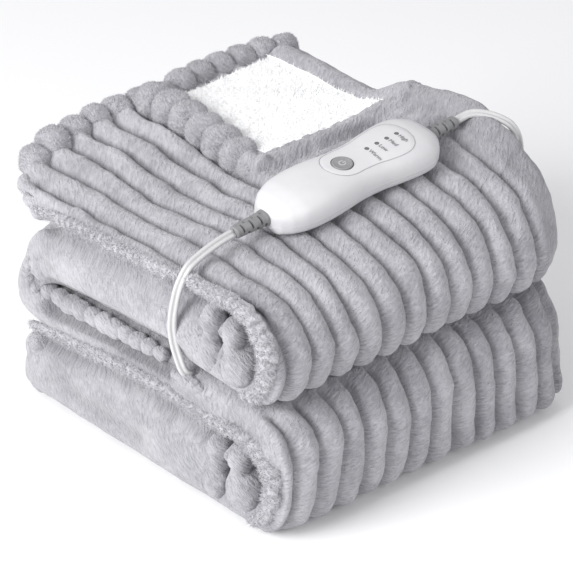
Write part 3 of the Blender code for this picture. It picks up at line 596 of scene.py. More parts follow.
def add_point(place, flat_place=(0.0, 0.0), fleece=False, dark=0.0):
    """Add a point with its place on the flat cloth, whether it is fleece, and how much painted shade it gets.
    """
    for column, value in ((points, place), (flat_places, flat_place), (white, fleece), (painted_shade, dark)):
        column.append(value)
    return len(points) - 1


def painted_shade_at(row, x, y, inset, fleece):
    """Painted shade of the cloth: 1 in a stitched valley, less on the back ridge behind the ribs, 0 on a
    rib's back.
    """
    if row["relief"] not in ("rib", "top") or row["relief"] == "top" and (fleece or in_window(x, y)):
        return 0.0
    valley = clamp(1 - (1 + rib_wave(y, 1.0)) / VALLEY_SHARE) * row["share"] * (1 - collar(x, y))
    ridge = RIDGE_SHADE * ramp(y, *RIDGE_Y) * ramp(x, *RIDGE_X)
    return max(valley * (1 - inset), ridge)


stations = cloth_stations()
ROUNDED = 6                    # stations at each end that every row has, so that the ends stay round
lines = []
for row in rows:
    numbers = range(len(stations))
    if row["relief"] in ("plain", "base"):
        numbers = [*range(ROUNDED), *range(ROUNDED + RIB_STEPS, len(stations) - ROUNDED, RIB_STEPS),
                   *range(len(stations) - ROUNDED, len(stations))]
    line = []
    for number in numbers:
        y, inset = stations[number]
        x, z, fleece = shaped(row, y, inset)
        line.append((number, add_point((x, y, z), (row["along"], y), fleece,
                                       painted_shade_at(row, x, y, inset, fleece))))
    lines.append(line)
faces = []
for first, second in zip([lines[-1], *lines[:-1]], lines):
    i = j = 0
    while i < len(first) - 1 or j < len(second) - 1:
        at_first = first[i + 1][0] if i < len(first) - 1 else math.inf
        at_second = second[j + 1][0] if j < len(second) - 1 else math.inf
        if at_first == at_second:
            faces.append((first[i][1], first[i + 1][1], second[j + 1][1], second[j][1]))
            i, j = i + 1, j + 1
        elif at_first < at_second:
            faces.append((first[i][1], first[i + 1][1], second[j][1]))
            i += 1
        else:
            faces.append((first[i][1], second[j + 1][1], second[j][1]))
            j += 1
print("shell of the cloth:", len(points), "points")

# %% [markdown]
# ## Ends of the folded cloth
# The near and far ends show the cut through all layers: pillowy pads, thin edges and dark hollows. A
# flat cap would look like a block. So each end is filled with a net of small triangles inside the
# outline, and every point is pushed out by how far it lies from the outline, as a cushion swells.
# %% Fill the ends
NEAR_CAP_STEP, FAR_CAP_STEP = 1.6, 2.8
ROW_SHARE = 0.866              # height of an even triangle, as a share of its side
SWELL_REACH, SWELL_HEIGHT = 18.0, 6.2


def outline_distance(places, outline):
    """Distance of each place from a closed outline, and whether it lies inside."""
    a, b = outline, np.roll(outline, -1, axis=0)
    best = np.full(len(places), 1e9)
    inside = np.zeros(len(places), bool)
    for (ax, az), (bx, bz) in zip(a, b):
        dx, dz = bx - ax, bz - az
        u = np.clip(((places[:, 0] - ax) * dx + (places[:, 1] - az) * dz) / (dx * dx + dz * dz + 1e-12), 0, 1)
        best = np.minimum(best, np.hypot(places[:, 0] - ax - u * dx, places[:, 1] - az - u * dz))
        if az != bz:
            crosses = (places[:, 1] < az) != (places[:, 1] < bz)
            inside ^= crosses & (places[:, 0] < ax + (places[:, 1] - az) * dx / dz)
    return best, inside


def end_net(outline, step):
    """Places in a net of even triangles inside the outline, and how far each lies from it."""
    low, high = outline.min(0), outline.max(0)
    rise = step * ROW_SHARE
    net = np.array([(low[0] + step * (i + 0.5 * (j % 2)), low[1] + rise * j)
                    for j in range(int((high[1] - low[1]) / rise) + 1)
                    for i in range(int((high[0] - low[0]) / step) + 1)])
    depth, inside = outline_distance(net, outline)
    keep = inside & (depth > 0.55 * step)
    return net[keep], depth[keep]


first_end_face = len(faces)
for side, step in ((-1, NEAR_CAP_STEP), (1, FAR_CAP_STEP)):
    ring = [line[0 if side < 0 else -1][1] for line in lines]
    outline = np.array([(points[n][0], points[n][2]) for n in ring])
    net, depth = end_net(outline, step)
    edges = [(i, (i + 1) % len(ring)) for i in range(len(ring))]
    made = delaunay_2d_cdt([Vector(p) for p in (*outline, *net)], edges, [], 1, 1e-6)
    first_new = len(points)
    for (x, z), far in zip(net, depth):
        swell = SWELL_HEIGHT * (1 - (1 - min(1.0, far / SWELL_REACH)) ** 2) ** 1.5
        add_point((x, side * (HALF_LENGTH + swell), z))
    names = [old[0] for old in made[3]]          # every point of the net stands for one that went in
    names = [ring[n] if n < len(ring) else first_new + n - len(ring) for n in names]
    faces += [tuple(names[n] for n in face) for face in made[2]]
    print("end", side, "has", len(made[2]), "triangles")

# %% [markdown]
# ## Openings at the right of each bundle
# Behind the round front edge of each bundle the layers end in a hollow, where tucked cloth shows. The
# edge of the hollow is drawn once for each bundle, and the end inside it is pushed back. The foot of
# both ends is drawn in a little, as a soft pile rolls under where it meets the floor.
# %% Push the hollows back and round the foot
OPENINGS = [
    [(76, 112), (73, 130), (73, 146), (75, 161), (80, 165.5), (89, 166.5), (100, 165), (109.4, 157),
     (113, 148), (113, 139), (110.5, 126), (107, 115), (97, 109.5), (84, 107.5)],
    [(80, 20), (76, 38), (77, 52), (79, 63), (85, 67.5), (92, 70), (102, 69.8), (109, 65), (116, 59),
     (117.5, 49), (115, 36), (112, 25), (104, 18.5), (92, 15), (80, 15.5)],
]
OPENING_DEPTH, OPENING_FROM, OPENING_EDGE = 7.0, 112.0, 3.2
FOOT_HEIGHT, FOOT_ROUND, FOOT_FROM, FOOT_REACH = 13.0, 7.0, 118.0, 12.0
drawn_places = np.array(points)
for opening in OPENINGS:
    depth, inside = outline_distance(drawn_places[:, [0, 2]], np.array(opening, float))
    for n in np.nonzero(inside & (drawn_places[:, 1] < -OPENING_FROM))[0]:
        share = smooth(depth[n] / OPENING_EDGE)
        x, y, z = points[n]
        front = max(y, -HALF_LENGTH)
        near_end = clamp((-OPENING_FROM - front) / (HALF_LENGTH - OPENING_FROM))
        points[n] = (x, front + (y - front) * (1 - share) + share * OPENING_DEPTH * near_end, z)
for n, (x, y, z) in enumerate(points):
    if z < FOOT_HEIGHT and abs(y) > FOOT_FROM:
        drawn = FOOT_ROUND * (1 - z / FOOT_HEIGHT) ** 2 * ramp(abs(y), FOOT_FROM, FOOT_REACH)
        points[n] = (x, y - math.copysign(drawn, y), z)
print("openings pushed back:", len(OPENINGS))

# %% [markdown]
# ## Creases and lumps
# Real plush is never even. The main creases are written down one by one, each as a line in millimetres
# with its own width and depth: a trough is pressed in along the surface's normal, a ridge is raised, and a
# trough also gets painted shade, darker the deeper it is. A slow noise then makes the ribs wander and the
# pads swell unevenly. Last, the near end is smoothed, because pile rounds every edge.
# %% Creases, one by one
CREASES = [                    # depth is positive for a trough and negative for a ridge
    dict(name="rim of the upper opening", width=4.2, depth=-1.4,
         line=[(-57, -133, 164.5), (-25, -133, 164), (20, -133, 166), (61, -132, 169), (76, -132, 170),
               (90, -132, 170), (103, -132, 168), (112, -132, 160.5), (117, -132, 150), (118, -132, 138),
               (115, -132, 124), (108, -132, 111)]),
    dict(name="under the edge of the top cloth", width=5.5, depth=6.5,
         line=[(-100, -131, 150), (-57, -132, 153.5), (-25, -132, 154), (20, -132, 156), (56, -132, 157)]),
    dict(name="under the edge of the lower top", width=5.5, depth=6.5,
         line=[(-112, -131, 50), (-95, -131, 55), (-60, -132, 59.5), (-11, -132, 64), (30, -132, 65),
               (58, -132, 62)]),
    dict(name="rim of the lower opening", width=4.4, depth=-1.4,
         line=[(-95, -132, 68), (-60, -133, 71), (-11, -133, 75.5), (30, -133, 75.5), (66, -133, 73.5),
               (92, -133, 75), (104, -133, 74.5), (114, -133, 68), (121, -132, 59), (122.5, -132, 48),
               (119.5, -132, 34), (114, -132, 20)]),
    dict(name="line over the lower rim", width=3.4, depth=1.2,
         line=[(-63, -134, 79), (-5, -135, 81.5), (50, -135, 83), (96, -133, 83), (111, -132, 82),
               (123, -131, 76), (131, -130, 60), (129, -130, 36)]),
    dict(name="line round the upper rim", width=3.2, depth=1.0,
         line=[(40, -130, 173), (89, -129, 172), (114, -128, 166), (123, -128, 154), (122, -128, 131)]),
    dict(name="ledge under the upper pad", width=7.5, depth=9.0,
         line=[(-96, -131, 86), (-60, -131, 88), (-10, -131, 90.5), (22, -131, 91)]),
    dict(name="foot of the upper pad", width=9.0, depth=7.0,
         line=[(-90, -131, 100), (-50, -131, 104), (0, -131, 106), (22, -131, 106)]),
    dict(name="top of the upper pad", width=8.0, depth=2.2,
         line=[(-95, -131, 146), (-40, -131, 149), (20, -131, 149), (48, -131, 148)]),
    dict(name="top of the lower pad", width=8.0, depth=2.2,
         line=[(-104, -131, 54), (-40, -131, 59), (20, -131, 60), (52, -131, 55)]),
    dict(name="cloth over the lead's end", width=4.5, depth=-6.0, line=[(40, -131, 93), (60, -131, 90)]),
    dict(name="pucker 1", width=2.6, depth=4.2,
         line=[(-106, -136, 121), (-100, -137, 111), (-98, -136, 103)]),
    dict(name="pucker 2", width=2.8, depth=4.0,
         line=[(-91, -138, 125), (-82, -139, 118), (-76, -138, 111)]),
    dict(name="pucker 3", width=2.2, depth=2.6,
         line=[(-99, -137, 128), (-92, -138, 120), (-88, -138, 108)]),
    dict(name="puff between the puckers", width=4.0, depth=-2.4, line=[(-96, -138, 116), (-90, -138, 106)]),
    dict(name="C fold 1", width=1.8, depth=2.6, line=[(-113, -133, 106), (-124, -132, 112)]),
    dict(name="C fold 2", width=1.8, depth=2.8, line=[(-112, -133, 100), (-126, -132, 101)]),
    dict(name="C fold 3", width=1.8, depth=2.4, line=[(-111, -133, 95), (-125, -132, 90)]),
    dict(name="C fold inside", width=3.0, depth=5.0,
         line=[(-117, -132, 112), (-113, -132, 102), (-108, -132, 94)]),
    dict(name="hem seam of the lower pad", width=1.8, depth=4.5,
         line=[(-121, -133, 49), (-119, -134, 36), (-121, -134, 22), (-120, -133, 10)]),
    dict(name="hem puff split", width=1.8, depth=3.0, line=[(-120, -132, 31), (-136, -130, 30)]),
    dict(name="lower pad, long hollow", width=10.0, depth=3.2,
         line=[(-96, -138, 34), (-50, -139, 27), (-5, -138, 24)]),
    dict(name="lower pad, upper fold", width=6.0, depth=2.2,
         line=[(-80, -138, 47), (-40, -138, 45), (10, -138, 46)]),
    dict(name="crease from the left hem 1", width=4.0, depth=2.2,
         line=[(-124, -100, 189), (-98, -98, 182), (-62, -96, 175)]),
    dict(name="crease from the left hem 2", width=3.5, depth=2.0,
         line=[(-118, -62, 197), (-84, -58, 189), (-52, -60, 180)]),
    dict(name="valley by the roll", width=5.0, depth=2.6,
         line=[(-70, -26, 190), (-42, -24, 184), (-14, -22, 180), (8, -24, 178)]),
    dict(name="cloth under the power lead", width=5.0, depth=2.6,
         line=[(57, 111, 198), (60, 118, 200), (66, 124, 199.5), (75, 130, 197)]),
    dict(name="back ridge crease 3", width=2.6, depth=1.7, line=[(13, 96, 189), (16, 111, 197)]),
    dict(name="back ridge crease 4", width=2.4, depth=1.5, line=[(28, 95, 190), (31, 110, 198)]),
    dict(name="back ridge crease 5", width=2.6, depth=1.6, line=[(62, 98, 193), (66, 111, 201)]),
    dict(name="fold up to the back ridge", width=4.5, depth=3.4,
         line=[(-4, 60, 183), (6, 80, 186), (20, 94, 190), (40, 101, 194)]),
    dict(name="back ridge crease 1", width=2.6, depth=2.0, line=[(40, 96, 190), (44, 124, 202)]),
    dict(name="back ridge crease 2", width=2.6, depth=1.8, line=[(82, 98, 192), (86, 124, 200)]),
]
LEDGE_SWELLS = dict(first=(-92, -129, 89), last=(36, -129, 97), count=10, radius=4.03, height=4.5)
CREASE_REACH, FULL_SHADE_DEPTH = 2.6, 6.0        # in widths of a crease; a trough this deep gets the full painted shade


def pressed(places, normals, painted_shades, crease):
    """Move points near a crease's line along their normals, and give troughs painted shade by their depth."""
    line = np.array(crease["line"], float)
    reach = CREASE_REACH * crease["width"]
    near = np.all((places > line.min(0) - reach) & (places < line.max(0) + reach), axis=1)
    p = places[near]
    best = np.full(len(p), 1e9)
    for a, b in zip(line, line[1:]):
        u = np.clip((p - a) @ (b - a) / ((b - a) @ (b - a)), 0, 1)
        best = np.minimum(best, np.linalg.norm(p - a - u[:, None] * (b - a), axis=1))
    amount = crease["depth"] * np.exp(-(best / crease["width"]) ** 2)
    places[near] = p - normals[near] * amount[:, None]
    painted_shades[near] += np.maximum(0, amount) / FULL_SHADE_DEPTH


def read_points(mesh):
    """Places and normals of a mesh's points, as two tables."""
    places, normals = np.empty(len(mesh.vertices) * 3), np.empty(len(mesh.vertices) * 3)
    mesh.vertices.foreach_get("co", places)
    mesh.vertex_normals.foreach_get("vector", normals)
    return places.reshape(-1, 3), normals.reshape(-1, 3)


# %% Press the creases and add the swells on the ledge
PLUSH_SLOT, FLEECE_SLOT = 0, 1
cloth_mesh = bpy.data.meshes.new("blanket")
cloth_mesh.from_pydata(points, [], faces)
shape = bmesh.new()
shape.from_mesh(cloth_mesh)
bmesh.ops.recalc_face_normals(shape, faces=shape.faces)
shape.to_mesh(cloth_mesh)
shape.free()
places, normals = read_points(cloth_mesh)
painted_shades = np.array(painted_shade)
for crease in CREASES:
    pressed(places, normals, painted_shades, crease)
for k in range(LEDGE_SWELLS["count"]):
    u = k / (LEDGE_SWELLS["count"] - 1)
    middle = np.array(LEDGE_SWELLS["first"]) * (1 - u) + np.array(LEDGE_SWELLS["last"]) * u
    away = np.linalg.norm(places - middle, axis=1)
    amount = LEDGE_SWELLS["height"] * (1 - 0.5 * u) * np.exp(-(away / LEDGE_SWELLS["radius"]) ** 2)
    places += normals * amount[:, None]
print("creases pressed:", len(CREASES))

# %% Slow lumps, and a softer near end
SWAYS = [(3.4, 48, 3.1), (1.2, 19, 8.4)]       # each noise: its height, wavelength and seed
CLOTH_LUMPS = [(1.1, 24, 1.7), (0.75, 10, 5.2), (0.35, 4.5, 9.9)]
FLEECE_LUMPS = [(0.8, 9, 2.2), (0.7, 3.6, 4.4)]
HEM_LUMPS = [(0.9, 9, 6.6), (0.5, 4.2, 2.8)]
FOOT_STILL = 6.0                               # height under which the foot stays flat on the floor
SOFT_FROM, SOFT_SHARE, SOFT_ROUNDS = -124.0, 0.6, 3


def waves(p, height, wavelength, seed):
    """Slow noise between about -height and height at a place in millimetres."""
    return height * noise.noise(Vector((p[0] / wavelength + seed, p[1] / wavelength, p[2] / wavelength)))


def lumps(p, table):
    return sum(waves(p, *row) for row in table)


for n, p in enumerate(places):
    hold = clamp(p[2] / FOOT_STILL)
    middle_share = 1 - ramp(abs(p[1]), 112, 20)
    sway = waves(p, *SWAYS[0]) * middle_share + waves(p, *SWAYS[1])
    move = normals[n] * lumps(p, FLEECE_LUMPS if white[n] else CLOTH_LUMPS) * hold
    places[n] = (p[0] + move[0], p[1] + move[1] + sway * hold, max(0.0, p[2] + move[2]))

ends = np.empty(len(cloth_mesh.edges) * 2, int)
cloth_mesh.edges.foreach_get("vertices", ends)
a, b = ends.reshape(-1, 2).T
meets = np.maximum(1, np.bincount(ends, minlength=len(places)))
soft = (SOFT_SHARE * (places[:, 1] < SOFT_FROM))[:, None]
for _ in range(SOFT_ROUNDS):
    around = np.zeros_like(places)
    np.add.at(around, a, places[b])
    np.add.at(around, b, places[a])
    places += soft * (around / meets[:, None] - places)
cloth_mesh.vertices.foreach_set("co", (places * MM).ravel())
cloth_mesh.update()

# %% UV map and the fleece faces
END_ASIDE = 3000.0             # how far beside the cloth each end lies on its map, in millimetres
uv = cloth_mesh.uv_layers.new(name="cloth")
loop_points = np.empty(len(cloth_mesh.loops), int)
cloth_mesh.loops.foreach_get("vertex_index", loop_points)
flat = np.array(flat_places)[loop_points]
first_loop = cloth_mesh.polygons[first_end_face].loop_start
at = drawn_places[loop_points[first_loop:]]      # the ends are laid out beside the long cloth
flat[first_loop:] = np.stack([at[:, 0] + END_ASIDE * np.sign(at[:, 1]), at[:, 2]], axis=1)
uv.data.foreach_set("uv", (flat * MM).ravel())
white_points = np.array(white)
slots = np.array([FLEECE_SLOT if white_points[list(f.vertices)].all() else PLUSH_SLOT
                  for f in cloth_mesh.polygons])
cloth_mesh.polygons.foreach_set("material_index", slots)
# the painted shade of each point goes to the plush finish as an attribute
cloth_mesh.attributes.new("painted_shade", "FLOAT", "POINT").data.foreach_set("value", np.minimum(1, painted_shades))
blanket = linked("blanket", cloth_mesh)
cloth_mesh.shade_smooth()
print("blanket:", len(cloth_mesh.polygons), "faces,", int(slots.sum()), "of them fleece")


# %% [markdown]
# ## Plush and fleece
# Plush is a dense short pile. Close up it shows fine slanted strokes where the hairs lie together, and
# larger light and dark patches where a hand has brushed it. Its hair tips scatter light at grazing
# angles, which the shader's sheen gives. The fleece underside is the same idea in white, with small
# curls in place of strokes.
# %% Plush and fleece finishes
PLUSH_LIGHT, PLUSH_DARK = (0.50, 0.495, 0.525), (0.335, 0.331, 0.36)
# a copy of the plush painted lighter: a painted highlight on the furry rims and the pile of the hems
LIGHTER_COPY_LIGHT, LIGHTER_COPY_DARK = (0.57, 0.565, 0.595), (0.47, 0.466, 0.495)
FLEECE_LIGHT, FLEECE_DARK = (0.96, 0.96, 0.96), (0.91, 0.91, 0.91)
PAINTED_SHADE_STRENGTH = 0.34            # how much the painted shade darkens the plush in valleys, troughs and on the back ridge


def plush_finish(name, light, dark):
    finish, tree, shader = new_finish(name, light, 0.95, Sheen_Weight=0.45, Sheen_Roughness=0.45)
    shader.inputs["Specular IOR Level"].default_value = 0.12
    source = add_node(tree, "ShaderNodeTexCoord")
    strokes = noise_at(tree, source.outputs["UV"], 540, 2, 0.6, (1.0, 2.6, 1.0), math.radians(30))
    fuzz = noise_at(tree, source.outputs["Object"], 820, 3, 0.7)
    patches = noise_at(tree, source.outputs["Object"], 34, 3, 0.6)
    both = add_node(tree, "ShaderNodeMix", {"data_type": "FLOAT", "Factor": 0.5})
    tree.links.new(patches, both.inputs["A"])
    tree.links.new(strokes, both.inputs["B"])
    # painted shade: the cloth's attribute darkens the plush colour
    shade = add_node(tree, "ShaderNodeMath", {"operation": "MULTIPLY_ADD"})
    shade.inputs[1].default_value, shade.inputs[2].default_value = -PAINTED_SHADE_STRENGTH, 1.0
    tree.links.new(add_node(tree, "ShaderNodeAttribute", {"attribute_name": "painted_shade"}).outputs["Fac"],
                   shade.inputs[0])
    darker = add_node(tree, "ShaderNodeHueSaturation")
    tree.links.new(tinted(tree, both.outputs[0], dark, light, 0.4, 0.6), darker.inputs["Color"])
    tree.links.new(shade.outputs[0], darker.inputs["Value"])
    tree.links.new(darker.outputs[0], shader.inputs["Base Color"])
    normal = bumped(tree, fuzz, 0.85, 0.0016)
    normal = bumped(tree, strokes, 0.9, 0.0022, normal)
    tree.links.new(normal, shader.inputs["Normal"])
    return finish


def fleece_finish():
    finish, tree, shader = new_finish("white fleece", FLEECE_LIGHT, 0.95, Sheen_Weight=0.4,
                                      Sheen_Roughness=0.5)
    source = add_node(tree, "ShaderNodeTexCoord").outputs["Object"]
    curls = noise_at(tree, source, 420, 3, 0.6)
    tree.links.new(tinted(tree, curls, FLEECE_DARK, FLEECE_LIGHT, 0.3, 0.6), shader.inputs["Base Color"])
    tree.links.new(bumped(tree, curls, 0.22, 0.001), shader.inputs["Normal"])
    return finish


plush = plush_finish("grey plush", PLUSH_LIGHT, PLUSH_DARK)
# the same plush painted lighter, as a painted highlight for the rims and the hems' pile
plush_painted_lighter = plush_finish("grey plush, painted lighter", LIGHTER_COPY_LIGHT, LIGHTER_COPY_DARK)
fleece = fleece_finish()
blanket.data.materials.append(plush)
blanket.data.materials.append(fleece)
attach(blanket, "blanket")
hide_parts("blanket_cloth")

# %% [markdown]
# ## Puffed hems
# Along its hems the plush is gathered into round puffs, like a string of small cushions. One puff is a
# soft boxy ball. Geometry Nodes set it along a path, a pitch apart, lean it a little and vary its size,
# so a whole hem is one path and a few numbers. The same tree makes the hems of the turned-back corner
# and of the left side, the furry rims of the two bundles, where the puffs stand so close that they melt
# into one roll, and the small puffs on the ledge and in the left fold.
# %% One puff
def puff_mesh(boxy=2.5, level=4):
    """Soft ball of radius 1 with slightly flat sides, and its seam pole along X."""
    shape = bmesh.new()
    bmesh.ops.create_icosphere(shape, subdivisions=level, radius=1.0)
    for corner in shape.verts:
        x, y, z = corner.co
        size = (abs(x) ** boxy + abs(y) ** boxy + abs(z) ** boxy) ** (1 / boxy)
        corner.co = corner.co / size
    mesh = bpy.data.meshes.new("puff")
    shape.to_mesh(mesh)
    shape.free()
    mesh.shade_smooth()
    return mesh


# %% Helpers for Geometry Nodes
def new_tree(name, sockets, output):
    """Empty tree with named inputs and one output, and its two end nodes."""
    tree = bpy.data.node_groups.new(name, "GeometryNodeTree")
    for socket, kind in sockets.items():
        tree.interface.new_socket(socket, in_out="INPUT", socket_type="NodeSocket" + kind)
    tree.interface.new_socket(output, in_out="OUTPUT", socket_type="NodeSocketGeometry")
    return tree, tree.nodes.new("NodeGroupInput"), tree.nodes.new("NodeGroupOutput")


def join(tree, *rows):
    """Link sockets: each row is a node, its output, another node and its input."""
    for source, out, target, into in rows:
        tree.links.new(source.outputs[out], target.inputs[into])


def with_nodes(source, tree, values):
    """Give an object the tree as a modifier, with its named inputs set by their sockets' identifiers."""
    modifier = source.modifiers.new(tree.name, "NODES")
    modifier.node_group = tree
    sockets = {item.name: item.identifier for item in tree.interface.items_tree if item.in_out == "INPUT"}
    for name, value in values.items():
        modifier[sockets[name]] = value


# %% A tree that sets puffs along a path
def puff_tree():
    sockets = {"Path": "Geometry", "Puff": "Object", "Pitch": "Float", "Half along": "Float",
               "Half across": "Float", "Half high": "Float", "Lean": "Float", "Uneven": "Float",
               "Seed": "Int", "Finish": "Material"}
    tree, inputs, output = new_tree("puffed hem", sockets, "Hem")
    put = tree.nodes.new
    even, ball, place = (put("GeometryNodeResampleCurve"), put("GeometryNodeObjectInfo"),
                         put("GeometryNodeInstanceOnPoints"))
    even.mode = "LENGTH"
    join(tree, (inputs, "Path", even, "Curve"), (inputs, "Pitch", even, "Length"),
         (even, "Curve", place, "Points"), (inputs, "Puff", ball, "Object"),
         (ball, "Geometry", place, "Instance"))

    along, aim, lean = (put("GeometryNodeInputTangent"), put("FunctionNodeAlignRotationToVector"),
                        put("ShaderNodeCombineXYZ"))
    angles, turn = put("FunctionNodeEulerToRotation"), put("FunctionNodeRotateRotation")
    aim.axis, aim.pivot_axis, turn.rotation_space = "X", "Z", "LOCAL"
    join(tree, (along, "Tangent", aim, "Vector"), (inputs, "Lean", lean, "Z"), (lean, 0, angles, "Euler"),
         (aim, "Rotation", turn, "Rotation"), (angles, "Rotation", turn, "Rotate By"),
         (turn, "Rotation", place, "Rotation"))

    size, wide, random = (put("ShaderNodeCombineXYZ"), put("GeometryNodeInputRadius"),
                          put("FunctionNodeRandomValue"))
    less, more, varied, scaled = (put("ShaderNodeMath"), put("ShaderNodeMath"), put("ShaderNodeVectorMath"),
                                  put("ShaderNodeVectorMath"))
    random.data_type = "FLOAT_VECTOR"
    less.operation, more.operation = "SUBTRACT", "ADD"
    varied.operation, scaled.operation = "MULTIPLY", "SCALE"
    less.inputs[0].default_value = more.inputs[0].default_value = 1.0
    join(tree, (inputs, "Half along", size, "X"), (inputs, "Half across", size, "Y"),
         (inputs, "Half high", size, "Z"), (inputs, "Uneven", less, 1), (inputs, "Uneven", more, 1),
         (less, 0, random, "Min"), (more, 0, random, "Max"), (inputs, "Seed", random, "Seed"),
         (size, 0, varied, 0), (random, "Value", varied, 1), (varied, 0, scaled, 0),
         (wide, "Radius", scaled, "Scale"), (scaled, 0, place, "Scale"))

    solid, paint = put("GeometryNodeRealizeInstances"), put("GeometryNodeSetMaterial")
    join(tree, (place, "Instances", solid, "Geometry"), (solid, "Geometry", paint, "Geometry"),
         (inputs, "Finish", paint, "Material"), (paint, "Geometry", output, "Hem"))
    return tree


hem_nodes = puff_tree()

# %% Paths and sizes of the puffed hems
HEMS = [                       # each path: x, y, z in millimetres and the size of the puffs there
    dict(name="corner_hem", pitch=16.4, along=10.8, across=14.0, high=14.2, lean=-0.5, uneven=0.06, seed=3,
         path=[(-21, -9, 172, 0.9), (-38, -9, 178, 1.0), (-55, -9, 182, 1.0), (-71, -9, 184.5, 1.0),
               (-86, -9, 187, 1.0), (-103, -9, 189.5, 1.0), (-122, -9.5, 189, 1.0)]),
    dict(name="left_hem", pitch=18.4, along=11.0, across=11.6, high=12.4, uneven=0.07, seed=5,
         path=[(-135, -11, 184, 1.0), (-139, -28, 182.5, 1.0), (-140, -47, 181.5, 1.0),
               (-140, -65, 179.5, 1.0), (-139.5, -84, 179, 1.0), (-137, -106, 173.5, 0.95)]),
    dict(name="left_hem_end", pitch=15.5, along=7.6, across=7.0, high=7.8, uneven=0.05, seed=9,
         path=[(-127, -120.5, 165, 1.0), (-114, -121.5, 151.5, 0.9)]),
    dict(name="lower_left_hem", pitch=24.0, along=8.0, across=8.0, high=12.6, uneven=0.04, seed=12,
         path=[(-117.6, -125, 41.5, 1.0), (-118, -125, 29, 1.0), (-117.6, -125, 16.5, 1.0)]),
    dict(name="upper_rim", pitch=6.2, along=6.4, across=4.6, high=4.6, uneven=0.1, seed=21,
         path=[(-116, -127, 158, 0.5), (-96, -130.5, 160, 0.8), (-57, -132, 164, 0.9),
               (-25, -132, 164.5, 0.9), (20, -131.6, 166.5, 0.9), (44, -130, 168.5, 0.9),
               (61, -131.6, 170, 1.0), (76, -132.4, 171, 1.1), (90, -132.6, 171.5, 1.15),
               (103, -132.6, 168.5, 1.15), (113, -132.4, 160.5, 1.15), (118, -132, 150, 1.1),
               (118.6, -131.6, 138, 1.05), (115.5, -131, 124, 1.0), (108, -130.6, 111, 0.9),
               (98, -130, 104.5, 0.7)]),
    dict(name="lower_rim", pitch=6.2, along=6.4, across=4.6, high=4.6, uneven=0.1, seed=22,
         path=[(-122, -127, 58, 0.5), (-95, -131, 66, 0.8), (-60, -132, 69.5, 0.9), (-11, -132, 74.5, 0.9),
               (30, -132, 75.5, 0.9), (66, -132, 74.5, 1.0), (92, -132.4, 76, 1.1), (104, -132.6, 75, 1.15),
               (115, -132.4, 68.5, 1.15), (122, -132, 59, 1.15), (123.5, -131.8, 48, 1.1),
               (120.5, -131.2, 34, 1.0), (115, -130.6, 21, 0.9), (104, -130, 12, 0.7)]),
    dict(name="ledge_puffs", pitch=11.5, along=8.4, across=6.4, high=6.8, uneven=0.12, seed=23,
         path=[(-103, -125.2, 93, 0.8), (-88, -125.2, 92, 1.0), (-60, -125.2, 92.6, 1.0),
               (-20, -125.4, 94, 0.9), (12, -125.8, 95.5, 0.7)]),
    dict(name="fold_puffs", pitch=6.4, along=3.6, across=4.6, high=3.6, uneven=0.14, seed=24,
         path=[(-106, -130, 117, 0.8), (-117, -130, 111, 1.0), (-120, -130, 101, 1.0),
               (-113, -130, 93, 0.9)]),
    dict(name="lip_at_lead", pitch=5.0, along=5.5, across=4.2, high=4.0, uneven=0.06, seed=25,
         path=[(32, -131.6, 91.5, 0.6), (40, -134, 94, 0.9), (47, -135.2, 95.2, 1.05),
               (57, -133.4, 93, 0.85), (66, -128, 90, 0.5)]),
    dict(name="back_left_hem", pitch=18.5, along=11.0, across=10.2, high=11.0, uneven=0.06, seed=7,
         path=[(-128, 4, 187, 0.95), (-132, 22, 189, 1.0), (-134, 40, 188.5, 1.0), (-134, 62, 187, 1.0),
               (-133, 84, 187, 1.0), (-131, 104, 187.5, 1.0), (-126, 120, 188, 0.9)]),
]


def puffed(row, finish):
    """One hem of puffs along a path, as a plain mesh at the origin."""
    curve = bpy.data.curves.new("path", "CURVE")
    curve.dimensions = "3D"
    spline = curve.splines.new("POLY")
    fine = smooth_line([np.array(knot, float) for knot in row["path"]], 10)
    spline.points.add(len(fine) - 1)
    for knot, p in zip(spline.points, fine):
        knot.co, knot.radius = (p[0] * MM, p[1] * MM, p[2] * MM, 1), p[3]
    path, ball = linked("path", curve), linked("ball", puff_mesh())
    with_nodes(path, hem_nodes, {
        "Puff": ball, "Pitch": row["pitch"] * MM, "Half along": row["along"] * MM,
        "Half across": row["across"] * MM, "Half high": row["high"] * MM, "Lean": row.get("lean", 0.0),
        "Uneven": row["uneven"], "Seed": row["seed"], "Finish": finish})
    mesh = as_mesh(path)
    for item in (path, ball):
        bpy.data.objects.remove(item)
    return mesh


# %% [markdown]
# ## Tucked ends
# Inside the two openings the last turns of the cloth are tucked in, and show as a few soft lobes with
# pleats between them. Each lobe starts as one puff. A voxel remesh melts them into one knot, as cloth
# pressed into a corner does, and shallow pleats are then pressed in round the places where it is waisted.
# %% Lobes, melted into soft knots
TUCKS = [                      # middle and half sizes of each lobe, for the upper and the lower opening
    dict(at=(83.5, -125, 143.8), half=(7.8, 9.5, 10.4)), dict(at=(82, -124.5, 132.5), half=(6.4, 8, 8)),
    dict(at=(87.6, -125, 120), half=(13, 12.5, 12.8)), dict(at=(64.5, -126, 146), half=(7.4, 9.5, 11)),
    dict(at=(62.5, -125.5, 132), half=(6.4, 8, 9)), dict(at=(63, -126, 118.5), half=(9.4, 10, 12)),
    dict(at=(87.6, -125, 49.8), half=(8, 9.5, 10)), dict(at=(86.5, -124.5, 39), half=(6.6, 8, 8)),
    dict(at=(92, -125, 25.6), half=(13.2, 12.5, 13.6)), dict(at=(68, -126, 50), half=(7.4, 9.5, 10.4)),
    dict(at=(66.5, -125.5, 36), half=(6.6, 8, 9)), dict(at=(66, -126, 21), half=(9.4, 10, 12.4)),
]
WAISTS = [(79.5, 133.5), (83.0, 39.5), (60, 133), (64, 36)]      # x and z
TUCK_VOXEL, PLEAT_COUNT, PLEAT_TURN, PLEAT_DEPTH, PLEAT_REACH = 0.9, 9, 0.8, 0.5, 9.0


